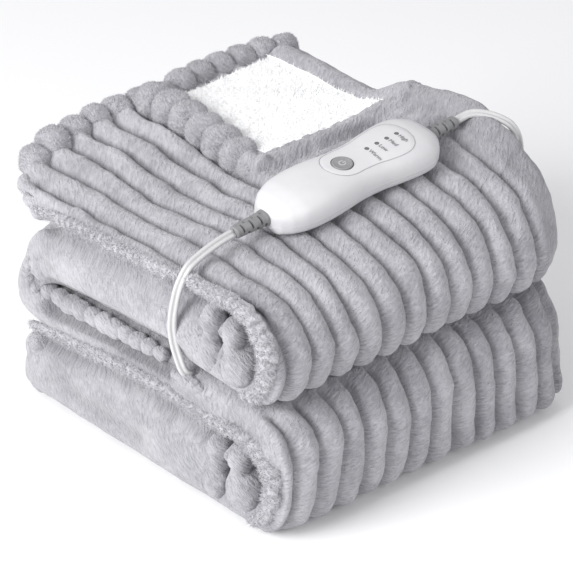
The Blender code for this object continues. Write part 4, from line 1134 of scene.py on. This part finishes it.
def tuck_mesh():
    shape = bmesh.new()
    for row in TUCKS:
        ball = puff_mesh(2.2, 3)
        size = Matrix.Diagonal((*(half * MM for half in row["half"]), 1))
        ball.transform(Matrix.Translation(Vector(row["at"]) * MM) @ size)
        shape.from_mesh(ball)
    rough = bpy.data.meshes.new("tucks")
    shape.to_mesh(rough)
    shape.free()
    knot = linked("knot", rough)
    melt = knot.modifiers.new("melt", "REMESH")
    melt.mode, melt.voxel_size = "VOXEL", TUCK_VOXEL * MM
    soften = knot.modifiers.new("soften", "SMOOTH")
    soften.factor, soften.iterations = 0.5, 6
    mesh = as_mesh(knot)
    bpy.data.objects.remove(knot)
    places, normals = read_points(mesh)
    for n in range(len(places)):
        p = places[n] / MM
        dx, dz = min(((p[0] - x, p[2] - z) for x, z in WAISTS), key=lambda way: way[0] ** 2 + way[1] ** 2)
        far = math.hypot(dx, dz)
        pleat = (math.sin(PLEAT_COUNT * math.atan2(dz, dx) + PLEAT_TURN) * min(1, far / 5)
                 * math.exp(-far / PLEAT_REACH))
        places[n] = (p + normals[n] * PLEAT_DEPTH * pleat) * MM
    mesh.vertices.foreach_set("co", places.ravel())
    mesh.materials.clear()
    mesh.materials.append(plush)
    return mesh


# %% Lumps and a map for each puffed piece
def uneven(mesh):
    """Slow lumps on a puffed piece, and a UV map laid from the side for the strokes of its pile."""
    mesh.shade_smooth()
    places, normals = read_points(mesh)
    for n in range(len(places)):
        p = places[n] / MM
        places[n] = (p + normals[n] * lumps(p, HEM_LUMPS)) * MM
    mesh.vertices.foreach_set("co", places.ravel())
    corner = np.empty(len(mesh.loops), int)
    mesh.loops.foreach_get("vertex_index", corner)
    uv = mesh.uv_layers.get("cloth") or mesh.uv_layers.new(name="cloth")
    flat = np.stack([places[:, 2] + 0.6 * places[:, 1], places[:, 0] + 0.4 * places[:, 1]], axis=1)
    uv.data.foreach_set("uv", flat[corner].ravel())
    mesh.update()
    return mesh


# the rims take the plush painted lighter, a painted highlight on the furry rolls
puffed_meshes = {row["name"]: puffed(row, plush_painted_lighter if "rim" in row["name"] else plush) for row in HEMS}
puffed_meshes["tucked_ends"] = tuck_mesh()
puffed_pieces = []
for name, mesh in puffed_meshes.items():
    piece = linked(name, uneven(mesh))
    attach(piece, "blanket")
    puffed_pieces.append(piece)
    print(name, "faces:", len(mesh.polygons))

# %% [markdown]
# ## Hand controller
# The controller is a pebble-shaped case of two shells with a thin seam, a flush front panel, four lamps
# and a round power button. It is lofted from a short table of widths and heights, because its outline
# swells at both ends, and every shape is made in the controller's own axes and then laid on the cloth.
# Each ring of the loft is a superellipse: a circle whose sides are squared off by a power.
# %% Sizes and place of the controller
CASE_LENGTH, CASE_PARTING, CASE_SQUARE = 145.0, 8.0, 3.2
SEAM_HALF, SEAM_DEPTH = 0.2, 0.55
CASE_PLACE = (Matrix.Translation(Vector((50.2, 7.2, 183.15)))
              @ Matrix.Rotation(math.radians(-2.9), 4, "Z") @ Matrix.Rotation(math.radians(3.7), 4, "X")
              @ Matrix.Rotation(math.radians(7.0), 4, "Y"))
CASE_SHAPE = [                 # half width and crown height at parts of the half length
    dict(t=-1.00, half=8.0, crown=15.5), dict(t=-0.96, half=13.5, crown=18.0),
    dict(t=-0.88, half=18.5, crown=21.0), dict(t=-0.74, half=22.4, crown=23.6),
    dict(t=-0.52, half=23.6, crown=24.8), dict(t=-0.30, half=22.6, crown=24.8),
    dict(t=-0.05, half=20.6, crown=24.2), dict(t=0.20, half=21.0, crown=24.0),
    dict(t=0.42, half=23.4, crown=24.4), dict(t=0.62, half=24.8, crown=24.2),
    dict(t=0.78, half=23.8, crown=23.2), dict(t=0.90, half=19.2, crown=21.0),
    dict(t=0.97, half=13.5, crown=18.0), dict(t=1.00, half=8.0, crown=15.5),
]
PANEL_SHAPE = [
    dict(y=-21.5, half=1.5), dict(y=-20.2, half=6.0), dict(y=-17.2, half=10.0),
    dict(y=-12.8, half=12.8), dict(y=-6.0, half=14.0), dict(y=3.0, half=13.8),
    dict(y=14.0, half=14.4), dict(y=25.0, half=16.4), dict(y=34.0, half=17.4),
    dict(y=41.0, half=16.8), dict(y=46.5, half=13.6), dict(y=50.0, half=8.0), dict(y=51.5, half=1.5),
]
BUTTON_X, BUTTON_Y, BUTTON_RADIUS, BUTTON_PROUD = 1.5, -7.5, 7.2, 0.8
POCKET_ROOM, POCKET_DEPTH = 0.3, 4.1
LAMP_X, LAMP_YS, LAMP_RADIUS = -0.8, (16.5, 25.5, 34.4, 43.3), 1.7
RELIEF_Z, RELIEF_SEAT, RELIEF_LENGTH = 10.5, 5.0, 26.0


def crown(x, y):
    t = y / (CASE_LENGTH / 2)
    half, top = table_value(CASE_SHAPE, "t", t, "half"), table_value(CASE_SHAPE, "t", t, "crown")
    across = clamp(abs(x) / half) ** CASE_SQUARE
    return CASE_PARTING + (top - CASE_PARTING) * (1 - across) ** (1 / CASE_SQUARE)


def laid(points):
    return [CASE_PLACE @ Vector(p) for p in points]


# %% Case shells with their seam
def power_arc(half, steps, sign):
    """Half a superellipse, of height 1, from one side of the case to the other."""
    angles = [math.pi * k / steps for k in range(steps + 1)]
    return [(sign * half * boxed(math.cos(a), 2 / CASE_SQUARE), math.sin(a) ** (2 / CASE_SQUARE))
            for a in angles]


def case_rings(count=88):
    rings = []
    for k in range(count + 1):
        t = -math.cos(math.pi * k / count)
        half, top = table_value(CASE_SHAPE, "t", t, "half"), table_value(CASE_SHAPE, "t", t, "crown")
        y = t * CASE_LENGTH / 2
        foot = CASE_PARTING * clamp((half - 3) / 10)
        ring = [(x, y, CASE_PARTING + SEAM_HALF + (top - CASE_PARTING - SEAM_HALF) * z)
                for x, z in power_arc(half, 36, 1)]
        ring.append((-half + SEAM_DEPTH, y, CASE_PARTING))
        ring += [(x, y, CASE_PARTING - SEAM_HALF - (foot - SEAM_HALF) * z)
                 for x, z in power_arc(half, 24, -1)]
        ring.append((half - SEAM_DEPTH, y, CASE_PARTING))
        rings.append(laid(ring))
    return rings


case_finish = mottled("white case plastic", 0.4, 60, (0.62, 0.615, 0.63), (0.655, 0.65, 0.66),
                      (2600, 0.08, 0.0001), broken=0.6, Coat_Weight=0.12, Coat_Roughness=0.25)
case = finished("controller_case", *lofted(case_rings()), [case_finish])
case.data.set_sharp_from_angle(angle=math.radians(50))
print("controller case:", len(case.data.polygons), "faces")


# %% Front panel and the thin gap round it, as a band of painted shade
PANEL_MIDDLE, PANEL_PROUD, PANEL_BEVEL, PANEL_FOOT = 15.0, 0.16, 0.25, -0.8
PANEL_RINGS, FIRST_RING, RING_STEP = 10, 0.92, 0.09
# the gaps are thin bands of painted shade: outer and inner edge of the panel's band, and how far both lift
# over the crown
GAP_OUTER, GAP_INNER, GAP_LIFT = 0.42, -0.02, 0.2


def panel_outline(grow, count=44):
    """Places round the panel's outline, from its near tip up the right side and down the left."""
    low, high = PANEL_SHAPE[0]["y"], PANEL_SHAPE[-1]["y"]
    middle, reach = (low + high) / 2, (high - low) / 2
    right = []
    for k in range(count + 1):
        y = middle - reach * math.cos(math.pi * k / count)
        half = table_value(PANEL_SHAPE, "y", y, "half") + grow if 0 < k < count else 0.0
        right.append((half, middle + (y - middle) * (1 + grow / reach)))
    return right + [(-x, y) for x, y in reversed(right[1:-1])]


def panel_plate():
    """Closed plate over the crown: rings that shrink to the middle, and a wall down to its foot."""
    levels = [(0.0, PANEL_FOOT), (0.0, 0.04), (-PANEL_BEVEL, PANEL_PROUD)]
    rings = [[(x, y, crown(x, y) + lift) for x, y in panel_outline(grow)] for grow, lift in levels]
    for k in range(PANEL_RINGS):
        share = FIRST_RING - RING_STEP * k
        inner = [(x * share, PANEL_MIDDLE + (y - PANEL_MIDDLE) * share)
                 for x, y in panel_outline(-PANEL_BEVEL)]
        rings.append([(x, y, crown(x, y) + PANEL_PROUD) for x, y in inner])
    return [laid(ring) for ring in rings]


def ribbon(outer, inner, lift, depth=0.3):
    """Closed flat band between two outlines on the crown."""
    rings = [[(x, y, crown(x, y) + z) for x, y in outline]
             for outline, z in ((outer, lift - depth), (outer, lift), (inner, lift), (inner, lift - depth))]
    points, faces = lofted([laid(ring) for ring in rings], caps=False)
    count = len(outer)
    for i in range(count):
        j = (i + 1) % count
        faces.append((3 * count + i, 3 * count + j, j, i))
    return points, faces


panel_finish = mottled("white panel film", 0.36, 90, (0.635, 0.63, 0.645), (0.67, 0.665, 0.675),
                       (3000, 0.05, 0.0001), Coat_Weight=0.15)
panel_gap_shade = mottled("painted shade of the panel gap", 0.6, 400, (0.36, 0.36, 0.37), (0.44, 0.44, 0.45))
panel = finished("controller_panel", *lofted(panel_plate()), [panel_finish])
panel.data.set_sharp_from_angle(angle=math.radians(50))
# a grey band of painted shade where the gap round the panel is dark
panel_gap = ribbon(panel_outline(GAP_OUTER), panel_outline(GAP_INNER), GAP_LIFT)
gap_line = finished("controller_panel_gap", *panel_gap, [panel_gap_shade])
print("panel:", len(panel.data.polygons), "faces")

# %% [markdown]
# ## Button, lamps and words
# The button is its own body in the frame: it moves down when it is pressed, so its cap and its sign ride
# on the button and not on the case, and a Boolean modifier cuts a pocket for it into the case and the
# panel. A thin dark ring of painted shade runs round the pocket. The words are generic settings, made from
# Blender's built-in font, turned into a mesh and only then bent over the crown.
# %% Button with its power sign
def circle(x, y, radius, segments=64):
    angles = [2 * math.pi * k / segments for k in range(segments)]
    return [(x + radius * math.cos(a), y + radius * math.sin(a)) for a in angles]


def disc(x, y, radius, levels, segments=64):
    """Round body on the crown; each level gives how much wider it is than radius, and how far it lifts."""
    top = crown(x, y)
    return lofted([laid((px, py, top + lift) for px, py in circle(x, y, radius + grow, segments))
                   for grow, lift in levels])


BUTTON_LEVELS = [(0, -3.0), (0, 0.25), (-0.12, 0.5), (-0.4, 0.72), (-0.8, BUTTON_PROUD), (-1.2, 0.72),
                 (-1.6, 0.55), (-4.5, 0.5), (-6.6, 0.5)]
button_finish = mottled("grey button rubber", 0.5, 300, (0.245, 0.245, 0.25), (0.285, 0.285, 0.29),
                        (4000, 0.1, 0.0001))
sign_finish = mottled("pale print", 0.5, 700, (0.52, 0.52, 0.53), (0.58, 0.58, 0.59), detail=2)
button_gap_shade = mottled("painted shade of the button gap", 0.7, 700, (0.10, 0.10, 0.10), (0.14, 0.14, 0.14), detail=2)
button = finished("button_cap", *disc(BUTTON_X, BUTTON_Y, BUTTON_RADIUS, BUTTON_LEVELS), [button_finish])


def cut_pocket(piece):
    """Round pocket in the piece, wide and deep enough for the button to be pressed into it."""
    round_cut = disc(BUTTON_X, BUTTON_Y, BUTTON_RADIUS, [(POCKET_ROOM, -POCKET_DEPTH), (POCKET_ROOM, 6)])
    cutter = finished("pocket_cutter", *round_cut, [], shade=False)
    cut = piece.modifiers.new("pocket", "BOOLEAN")
    cut.operation, cut.solver, cut.object = "DIFFERENCE", "EXACT", cutter
    mesh = as_mesh(piece)
    piece.modifiers.clear()
    piece.data = mesh
    mesh.set_sharp_from_angle(angle=math.radians(40))
    bpy.data.objects.remove(cutter)
    print(piece.name, "with the button's pocket:", len(mesh.polygons), "faces")


cut_pocket(case)
cut_pocket(panel)

BUTTON_GAP = (0.6, 0.28)       # how far outside the button the ring of painted shade ends and starts
SIGN_RING, SIGN_OPEN, SIGN_BAR, SIGN_BAR_HALF, SIGN_STEPS = (1.9, 2.5), 34, (0.4, 2.9), 0.3, 32
SIGN_TOP, SIGN_FOOT = 0.58, 0.35


def sign_mesh():
    """Power sign: an open ring and a bar, both with a little thickness."""
    top, foot = crown(BUTTON_X, BUTTON_Y) + SIGN_TOP, crown(BUTTON_X, BUTTON_Y) + SIGN_FOOT
    (inner, outer), open_half = SIGN_RING, math.radians(SIGN_OPEN)
    rings = []
    for k in range(SIGN_STEPS + 1):
        angle = math.pi / 2 + open_half + (2 * math.pi - 2 * open_half) * k / SIGN_STEPS
        rings.append(laid((BUTTON_X + r * math.cos(angle), BUTTON_Y + r * math.sin(angle), z)
                          for r, z in ((inner, foot), (outer, foot), (outer, top), (inner, top))))
    points, faces = lofted(rings)
    half = SIGN_BAR_HALF
    bar = [(-half, foot), (half, foot), (half, top), (-half, top)]
    more_points, more_faces = lofted([laid((BUTTON_X + x, BUTTON_Y + y, z) for x, z in bar)
                                      for y in SIGN_BAR])
    return points + more_points, faces + [tuple(n + len(points) for n in f) for f in more_faces]


sign = finished("button_sign", *sign_mesh(), [sign_finish], shade=False)
gap_sides = [circle(BUTTON_X, BUTTON_Y, BUTTON_RADIUS + wider) for wider in BUTTON_GAP]
# a ring of painted shade round the button, where the pocket's gap is dark
button_gap = finished("button_gap", *ribbon(*gap_sides, GAP_LIFT), [button_gap_shade])


# %% Lamps and the words beside them
WORD_X, WORD_DROP, WORD_HEIGHT, WORD_LIFT = 1.9, 1.6, 4.4, 0.5
LAMP_LEVELS = [(0, -1.0), (0, 0.18), (-0.15, 0.34), (-0.55, 0.4), (-0.75, 0.3), (-1.45, 0.42)]


def word(text, x, y, height):
    """A word as a mesh on the crown, reading towards +X."""
    curve = bpy.data.curves.new("word " + text, "FONT")
    curve.body = text
    curve.size = height
    curve.extrude = 0.05
    curve.resolution_u = 4
    writer = linked("writer", curve)
    mesh = as_mesh(writer)
    bpy.data.objects.remove(writer)
    for corner in mesh.vertices:
        px, py = x + corner.co.x, y + corner.co.y
        corner.co = (CASE_PLACE @ Vector((px, py, crown(px, py) + WORD_LIFT + corner.co.z))) * MM
    mesh.materials.clear()
    mesh.materials.append(ink_finish)
    return linked("word_" + text, mesh)


ink_finish = mottled("grey print", 0.5, 900, (0.19, 0.19, 0.20), (0.26, 0.26, 0.27), detail=2)
words = [word(text, WORD_X, y - WORD_DROP, WORD_HEIGHT)
         for text, y in zip(("Warm", "Low", "Med", "High"), LAMP_YS)]
lamp_finish = mottled("grey lamp lens", 0.2, 800, (0.10, 0.10, 0.105), (0.16, 0.16, 0.165), detail=2,
                      Coat_Weight=0.5)
lamps = [finished(f"lamp_lens_{number}", *disc(LAMP_X, y, LAMP_RADIUS, LAMP_LEVELS, 28), [lamp_finish])
         for number, y in enumerate(LAMP_YS, 1)]
print("words and lamps:", len(words), len(lamps))

# %% [markdown]
# ## Strain reliefs
# Where a lead leaves the case a soft rubber sleeve keeps it from kinking. Short slots across it, on
# alternate sides, let it bend. The sleeve is a fine grid round a tapered tube, and the grid's points are
# pressed in wherever a slot lies.
# %% Slotted strain reliefs
SLOT_FIRST, SLOT_PITCH, SLOT_ROWS, SLOT_HALF, SLOT_TURN, SLOT_DEPTH = 8.0, 3.5, 6, 0.8, 40.92, 2.6
RELIEF_ROOT, RELIEF_TAPER, RELIEF_SQUARE, RELIEF_FLAT, RELIEF_INSIDE = 5.9, 1.3, 0.82, 0.8, 5.6
TIP_LENGTH, TIP_ROUND, COLLAR_END, COLLAR_PROUD = 1.2, 0.9, 2.4, 0.35


def slot_depth(along, degrees):
    """Depth of the slot at a place on the sleeve; odd and even slots lie a quarter turn apart."""
    for row in range(SLOT_ROWS):
        turn = (degrees - (45 if row % 2 else 135) + 90) % 180 - 90
        if abs(along - SLOT_FIRST - SLOT_PITCH * row) < SLOT_HALF and abs(turn) < SLOT_TURN:
            return SLOT_DEPTH
    return 0.0


def relief_rings(side, around=64, steps=78):
    total = RELIEF_SEAT + RELIEF_LENGTH
    rings = []
    for k in range(steps + 1):
        along = total * k / steps
        radius = RELIEF_ROOT - RELIEF_TAPER * along / total
        if along > total - TIP_LENGTH:
            radius -= TIP_ROUND * ((along - total + TIP_LENGTH) / TIP_LENGTH) ** 2
        if RELIEF_SEAT - 0.2 < along < RELIEF_SEAT + COLLAR_END:
            radius += COLLAR_PROUD               # against the case
        if along < RELIEF_SEAT:
            radius = min(radius, RELIEF_INSIDE)
        y = side * (CASE_LENGTH / 2 - RELIEF_SEAT + along)
        ring = []
        for n in range(around):
            angle = 2 * math.pi * n / around
            r = radius - slot_depth(along, math.degrees(angle))
            ring.append((r * boxed(math.cos(angle), RELIEF_SQUARE), y,
                         RELIEF_Z + RELIEF_FLAT * r * boxed(math.sin(angle), RELIEF_SQUARE)))
        rings.append(laid(ring))
    return rings


relief_finish = mottled("grey relief rubber", 0.55, 250, (0.20, 0.20, 0.205), (0.25, 0.25, 0.255),
                        (3000, 0.15, 0.0001))
reliefs = {}
for side, name in ((-1, "near"), (1, "far")):
    reliefs[name] = finished(f"relief_{name}", *lofted(relief_rings(side)), [relief_finish])
    reliefs[name].data.set_sharp_from_angle(angle=math.radians(45))

# %% [markdown]
# ## Plug and tie
# The photograph doesn't show the end of the power lead, so it ends as such leads do: a moulded two-pin
# plug with a ribbed neck, beside a neat coil held by a soft tie. The blades are the frame's own solids
# with a plated finish.
# %% Plug
PLUG_DIRECTION = Vector((-0.936, 0.352, 0.0)).normalized()
plug_side = Vector((0, 0, 1)).cross(PLUG_DIRECTION)
PLUG_PLACE = (Matrix.Translation(Vector(PLUG_TAIL_ROUTE[-1]))
              @ Matrix((PLUG_DIRECTION, plug_side, Vector((0, 0, 1)))).transposed().to_4x4())
PLUG_SECTIONS = [              # along the plug, half width and half height
    (0.45, 3.4, 3.0), (1.2, 3.8, 3.5), (4.0, 3.9, 3.7), (4.6, 3.2, 3.0), (7.0, 3.2, 3.0), (7.6, 4.2, 4.0),
    (11.0, 4.4, 4.2), (11.6, 3.6, 3.4), (14.0, 3.6, 3.4), (14.6, 4.7, 4.5), (19.0, 5.4, 5.0),
    (22.0, 7.5, 6.0), (25.0, 10.0, 7.0), (29.0, 12.0, 7.6), (36.0, 13.0, 8.0), (47.0, 13.0, 8.1),
    (50.8, 12.7, 7.9), (51.7, 12.1, 7.3), (52.0, 11.3, 6.5),
]
PLUG_SQUARE, PLUG_SIDES = 0.7, 48
plug_finish = mottled("white plug plastic", 0.42, 120, (0.77, 0.77, 0.775), (0.82, 0.82, 0.825),
                      (2500, 0.12, 0.0001))
turns = [2 * math.pi * (k + 0.5) / PLUG_SIDES for k in range(PLUG_SIDES)]
plug_rings = [[PLUG_PLACE @ Vector((along, wide * boxed(math.cos(turn), PLUG_SQUARE),
                                    high * boxed(math.sin(turn), PLUG_SQUARE))) for turn in turns]
              for along, wide, high in PLUG_SECTIONS]
plug = finished("plug_body", *lofted(plug_rings), [plug_finish])
plug.data.set_sharp_from_angle(angle=math.radians(38))
print("plug:", len(plug.data.polygons), "faces")


# %% Tie round the coil
TIE_OFFSET, TIE_HALF_Y, TIE_HALF_Z, TIE_WIDE, TIE_STEPS = (33.0, 10.3), 7.85, 9.55, 6.0, 40
TIE_HALF_THICK, TIE_BEVEL = 0.55, 0.3


def tie_rings():
    """Soft strap with rounded corners round the far side of the coil."""
    centre = Vector((COIL_CENTRE[0], COIL_CENTRE[1] + TIE_OFFSET[0], TIE_OFFSET[1]))
    half, thick, bevel = TIE_WIDE / 2, TIE_HALF_THICK, TIE_BEVEL
    profile = [(-half, -bevel), (-half + bevel, -thick), (half - bevel, -thick), (half, -bevel),
               (half, bevel), (half - bevel, thick), (-half + bevel, thick), (-half, bevel)]
    rings = []
    for k in range(TIE_STEPS):
        turn = 2 * math.pi * k / TIE_STEPS
        at = Vector((0, TIE_HALF_Y * boxed(math.cos(turn), 0.5), TIE_HALF_Z * boxed(math.sin(turn), 0.5)))
        rings.append([centre + at + Vector((a, 0, 0)) + at.normalized() * b for a, b in profile])
    return rings


def closed_loop(rings):
    """Points and faces of a body whose last ring joins its first."""
    points, faces = lofted(rings + rings[:1], caps=False)
    last = len(rings) * len(rings[0])
    return points[:last], [tuple(n % last for n in face) for face in faces]


tie = finished("coil_strap", *closed_loop(tie_rings()), [relief_finish])

blade_finish, tree, shader = new_finish("plated blade", (0.72, 0.70, 0.64), 0.28, Metallic=1.0)
source = add_node(tree, "ShaderNodeTexCoord").outputs["Object"]
scratches = noise_at(tree, source, 7000, 3, 0.6, (8, 1, 1))
tree.links.new(tinted(tree, scratches, (0.66, 0.64, 0.58), (0.78, 0.76, 0.70)), shader.inputs["Base Color"])
tree.links.new(bumped(tree, scratches, 0.1, 0.0001), shader.inputs["Normal"])
for name in ("plug_blade_left", "plug_blade_right"):
    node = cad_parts[name]
    node.data.materials.clear()
    node.data.materials.append(blade_finish)

# %% Put the hard pieces on their bodies
for piece in (case, panel, gap_line, button_gap, *words, *lamps, *reliefs.values(), plug, tie,
              blanket_lead, mains_lead):
    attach(piece, "blanket")
for piece in (button, sign):
    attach(piece, "button")
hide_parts("case_upper", "case_lower")
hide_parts("case_panel")
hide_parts("power_button")
for number, lamp in enumerate(lamps, 1):
    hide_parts(f"lamp_{number}")
for name, relief in reliefs.items():
    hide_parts(f"strain_relief_{name}")
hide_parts("plug_grip")
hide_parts("coil_tie")
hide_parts("blanket_lead")
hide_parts("mains_lead", "mains_coil", "plug_tail")

# %% [markdown]
# ## Pile
# A plush surface never ends in a clean line: hair tips stand out from it. Real hair would be far too
# many strands, so Geometry Nodes scatter short three-sided spikes over the cloth, tilted at random.
# Their number, length and width are named inputs of the tree.
# %% A tree that scatters the pile
def pile_tree():
    sockets = {"Cloth": "Geometry", "Density": "Float", "Length": "Float", "Width": "Float",
               "Tilt": "Float", "Seed": "Int", "Finish": "Material"}
    tree, inputs, output = new_tree("pile", sockets, "Pile")
    put = tree.nodes.new
    spread, spike, grow = (put("GeometryNodeDistributePointsOnFaces"), put("GeometryNodeMeshCone"),
                           put("FunctionNodeRandomValue"))
    place, solid, paint = (put("GeometryNodeInstanceOnPoints"), put("GeometryNodeRealizeInstances"),
                           put("GeometryNodeSetMaterial"))
    spike.fill_type = "NONE"
    spike.inputs["Vertices"].default_value, spike.inputs["Radius Top"].default_value = 3, 0.0
    grow.inputs["Min"].default_value, grow.inputs["Max"].default_value = 0.6, 1.3
    join(tree, (inputs, "Cloth", spread, "Mesh"), (inputs, "Density", spread, "Density"),
         (inputs, "Seed", spread, "Seed"), (inputs, "Width", spike, "Radius Bottom"),
         (inputs, "Length", spike, "Depth"), (spread, "Points", place, "Points"),
         (spike, "Mesh", place, "Instance"), (grow, "Value", place, "Scale"))

    tilt, low, high, negative = (put("FunctionNodeRandomValue"), put("ShaderNodeCombineXYZ"),
                                 put("ShaderNodeCombineXYZ"), put("ShaderNodeMath"))
    angles, spin = put("FunctionNodeEulerToRotation"), put("FunctionNodeRotateRotation")
    tilt.data_type, negative.operation, spin.rotation_space = "FLOAT_VECTOR", "MULTIPLY", "LOCAL"
    negative.inputs[1].default_value = -1.0
    low.inputs["Z"].default_value, high.inputs["Z"].default_value = 0.0, 2 * math.pi
    join(tree, (inputs, "Tilt", negative, 0), (negative, 0, low, "X"), (negative, 0, low, "Y"),
         (inputs, "Tilt", high, "X"), (inputs, "Tilt", high, "Y"), (low, 0, tilt, "Min"),
         (high, 0, tilt, "Max"), (tilt, "Value", angles, "Euler"), (spread, "Rotation", spin, "Rotation"),
         (angles, "Rotation", spin, "Rotate By"), (spin, "Rotation", place, "Rotation"))

    join(tree, (place, "Instances", solid, "Geometry"), (solid, "Geometry", paint, "Geometry"),
         (inputs, "Finish", paint, "Material"), (paint, "Geometry", output, "Pile"))
    return tree


pile_nodes = pile_tree()


# %% Grow the pile on parts of the cloth
def pile_on(row):
    """Pile on the faces of the row's meshes that its chosen(face) accepts."""
    shape = bmesh.new()
    for mesh in row["beds"]:
        shape.from_mesh(mesh)
    bmesh.ops.delete(shape, geom=[face for face in shape.faces if not row["chosen"](face)], context="FACES")
    area = sum(f.calc_area() for f in shape.faces)
    bed_mesh = bpy.data.meshes.new("bed")
    shape.to_mesh(bed_mesh)
    shape.free()
    bed = linked("bed", bed_mesh)
    with_nodes(bed, pile_nodes, {
        "Density": row["count"] / area, "Length": row["length"] * MM, "Width": row["width"] * MM,
        "Tilt": math.radians(row["tilt"]), "Seed": row["seed"], "Finish": row["finish"]})
    made = linked(row["name"], as_mesh(bed))
    bpy.data.objects.remove(bed)
    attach(made, "blanket")
    print(made.name, "on", round(area * 1e4), "cm2:", len(made.data.polygons), "faces")


# pile on the rims and hems uses the plush painted lighter, a painted highlight where hair tips catch light
PILE = [
    dict(name="pile_on_rims", beds=[piece.data for piece in puffed_pieces if piece.name.endswith("rim")],
         chosen=lambda face: face.normal.y < 0.1, finish=plush_painted_lighter,
         count=16000, length=2.6, width=0.28, tilt=56, seed=11),
    dict(name="pile_on_hems", beds=[piece.data for piece in puffed_pieces if piece.name.endswith("hem")],
         chosen=lambda face: face.normal.z > -0.3, finish=plush_painted_lighter,
         count=22000, length=1.4, width=0.26, tilt=52, seed=13),
    dict(name="pile_on_fleece", beds=[cloth_mesh], chosen=lambda face: face.material_index == FLEECE_SLOT,
         finish=fleece, count=9000, length=3.0, width=0.3, tilt=68, seed=14),
]
for row in PILE:
    pile_on(row)

# %% [markdown]
# ## Floor and light
# A plain pale floor and soft light from large lamps, as in a product picture: the main light stands up
# and to the left, a weaker one fills from the right, and a pale sky keeps the shadows grey.
# %% Floor and light
FLOOR_HALF, FLOOR_HEIGHT = 6.0, -0.0005
corners = [(x * FLOOR_HALF, y * FLOOR_HALF, FLOOR_HEIGHT) for x, y in ((-1, -1), (1, -1), (1, 1), (-1, 1))]
floor_mesh = bpy.data.meshes.new("floor")
floor_mesh.from_pydata(corners, [], [(0, 1, 2, 3)])
floor_finish, tree, shader = new_finish("pale floor", (0.95, 0.95, 0.95), 0.9)
shader.inputs["Specular IOR Level"].default_value = 0.1
floor_mesh.materials.append(floor_finish)
floor = linked("floor", floor_mesh)

LIGHTS = [
    dict(name="main light", azimuth=-4, elevation=31, distance=2.0, size=1.0, power=42),
    dict(name="fill light", azimuth=84, elevation=32, distance=2.2, size=1.4, power=10),
    dict(name="top light", azimuth=-120, elevation=75, distance=2.2, size=1.4, power=2),
]
for row in LIGHTS:
    a, e = math.radians(row["azimuth"]), math.radians(row["elevation"])
    way = Vector((math.sin(a) * math.cos(e), -math.cos(a) * math.cos(e), math.sin(e)))
    light = bpy.data.lights.new(row["name"], "AREA")
    light.energy, light.size = row["power"], row["size"]
    stand = linked(row["name"], light)
    stand.location = CAMERA_TARGET + way * row["distance"]
    stand.rotation_euler = (-way).to_track_quat("-Z", "Y").to_euler()
print("lights:", len(LIGHTS))
world = bpy.data.worlds.new("pale sky")
world.use_nodes = True
sky = world.node_tree.nodes["Background"]
sky.inputs["Color"].default_value = (0.97, 0.97, 1.0, 1)
sky.inputs["Strength"].default_value = 0.6
bpy.context.scene.world = world
bpy.context.scene.view_settings.view_transform = "Standard"
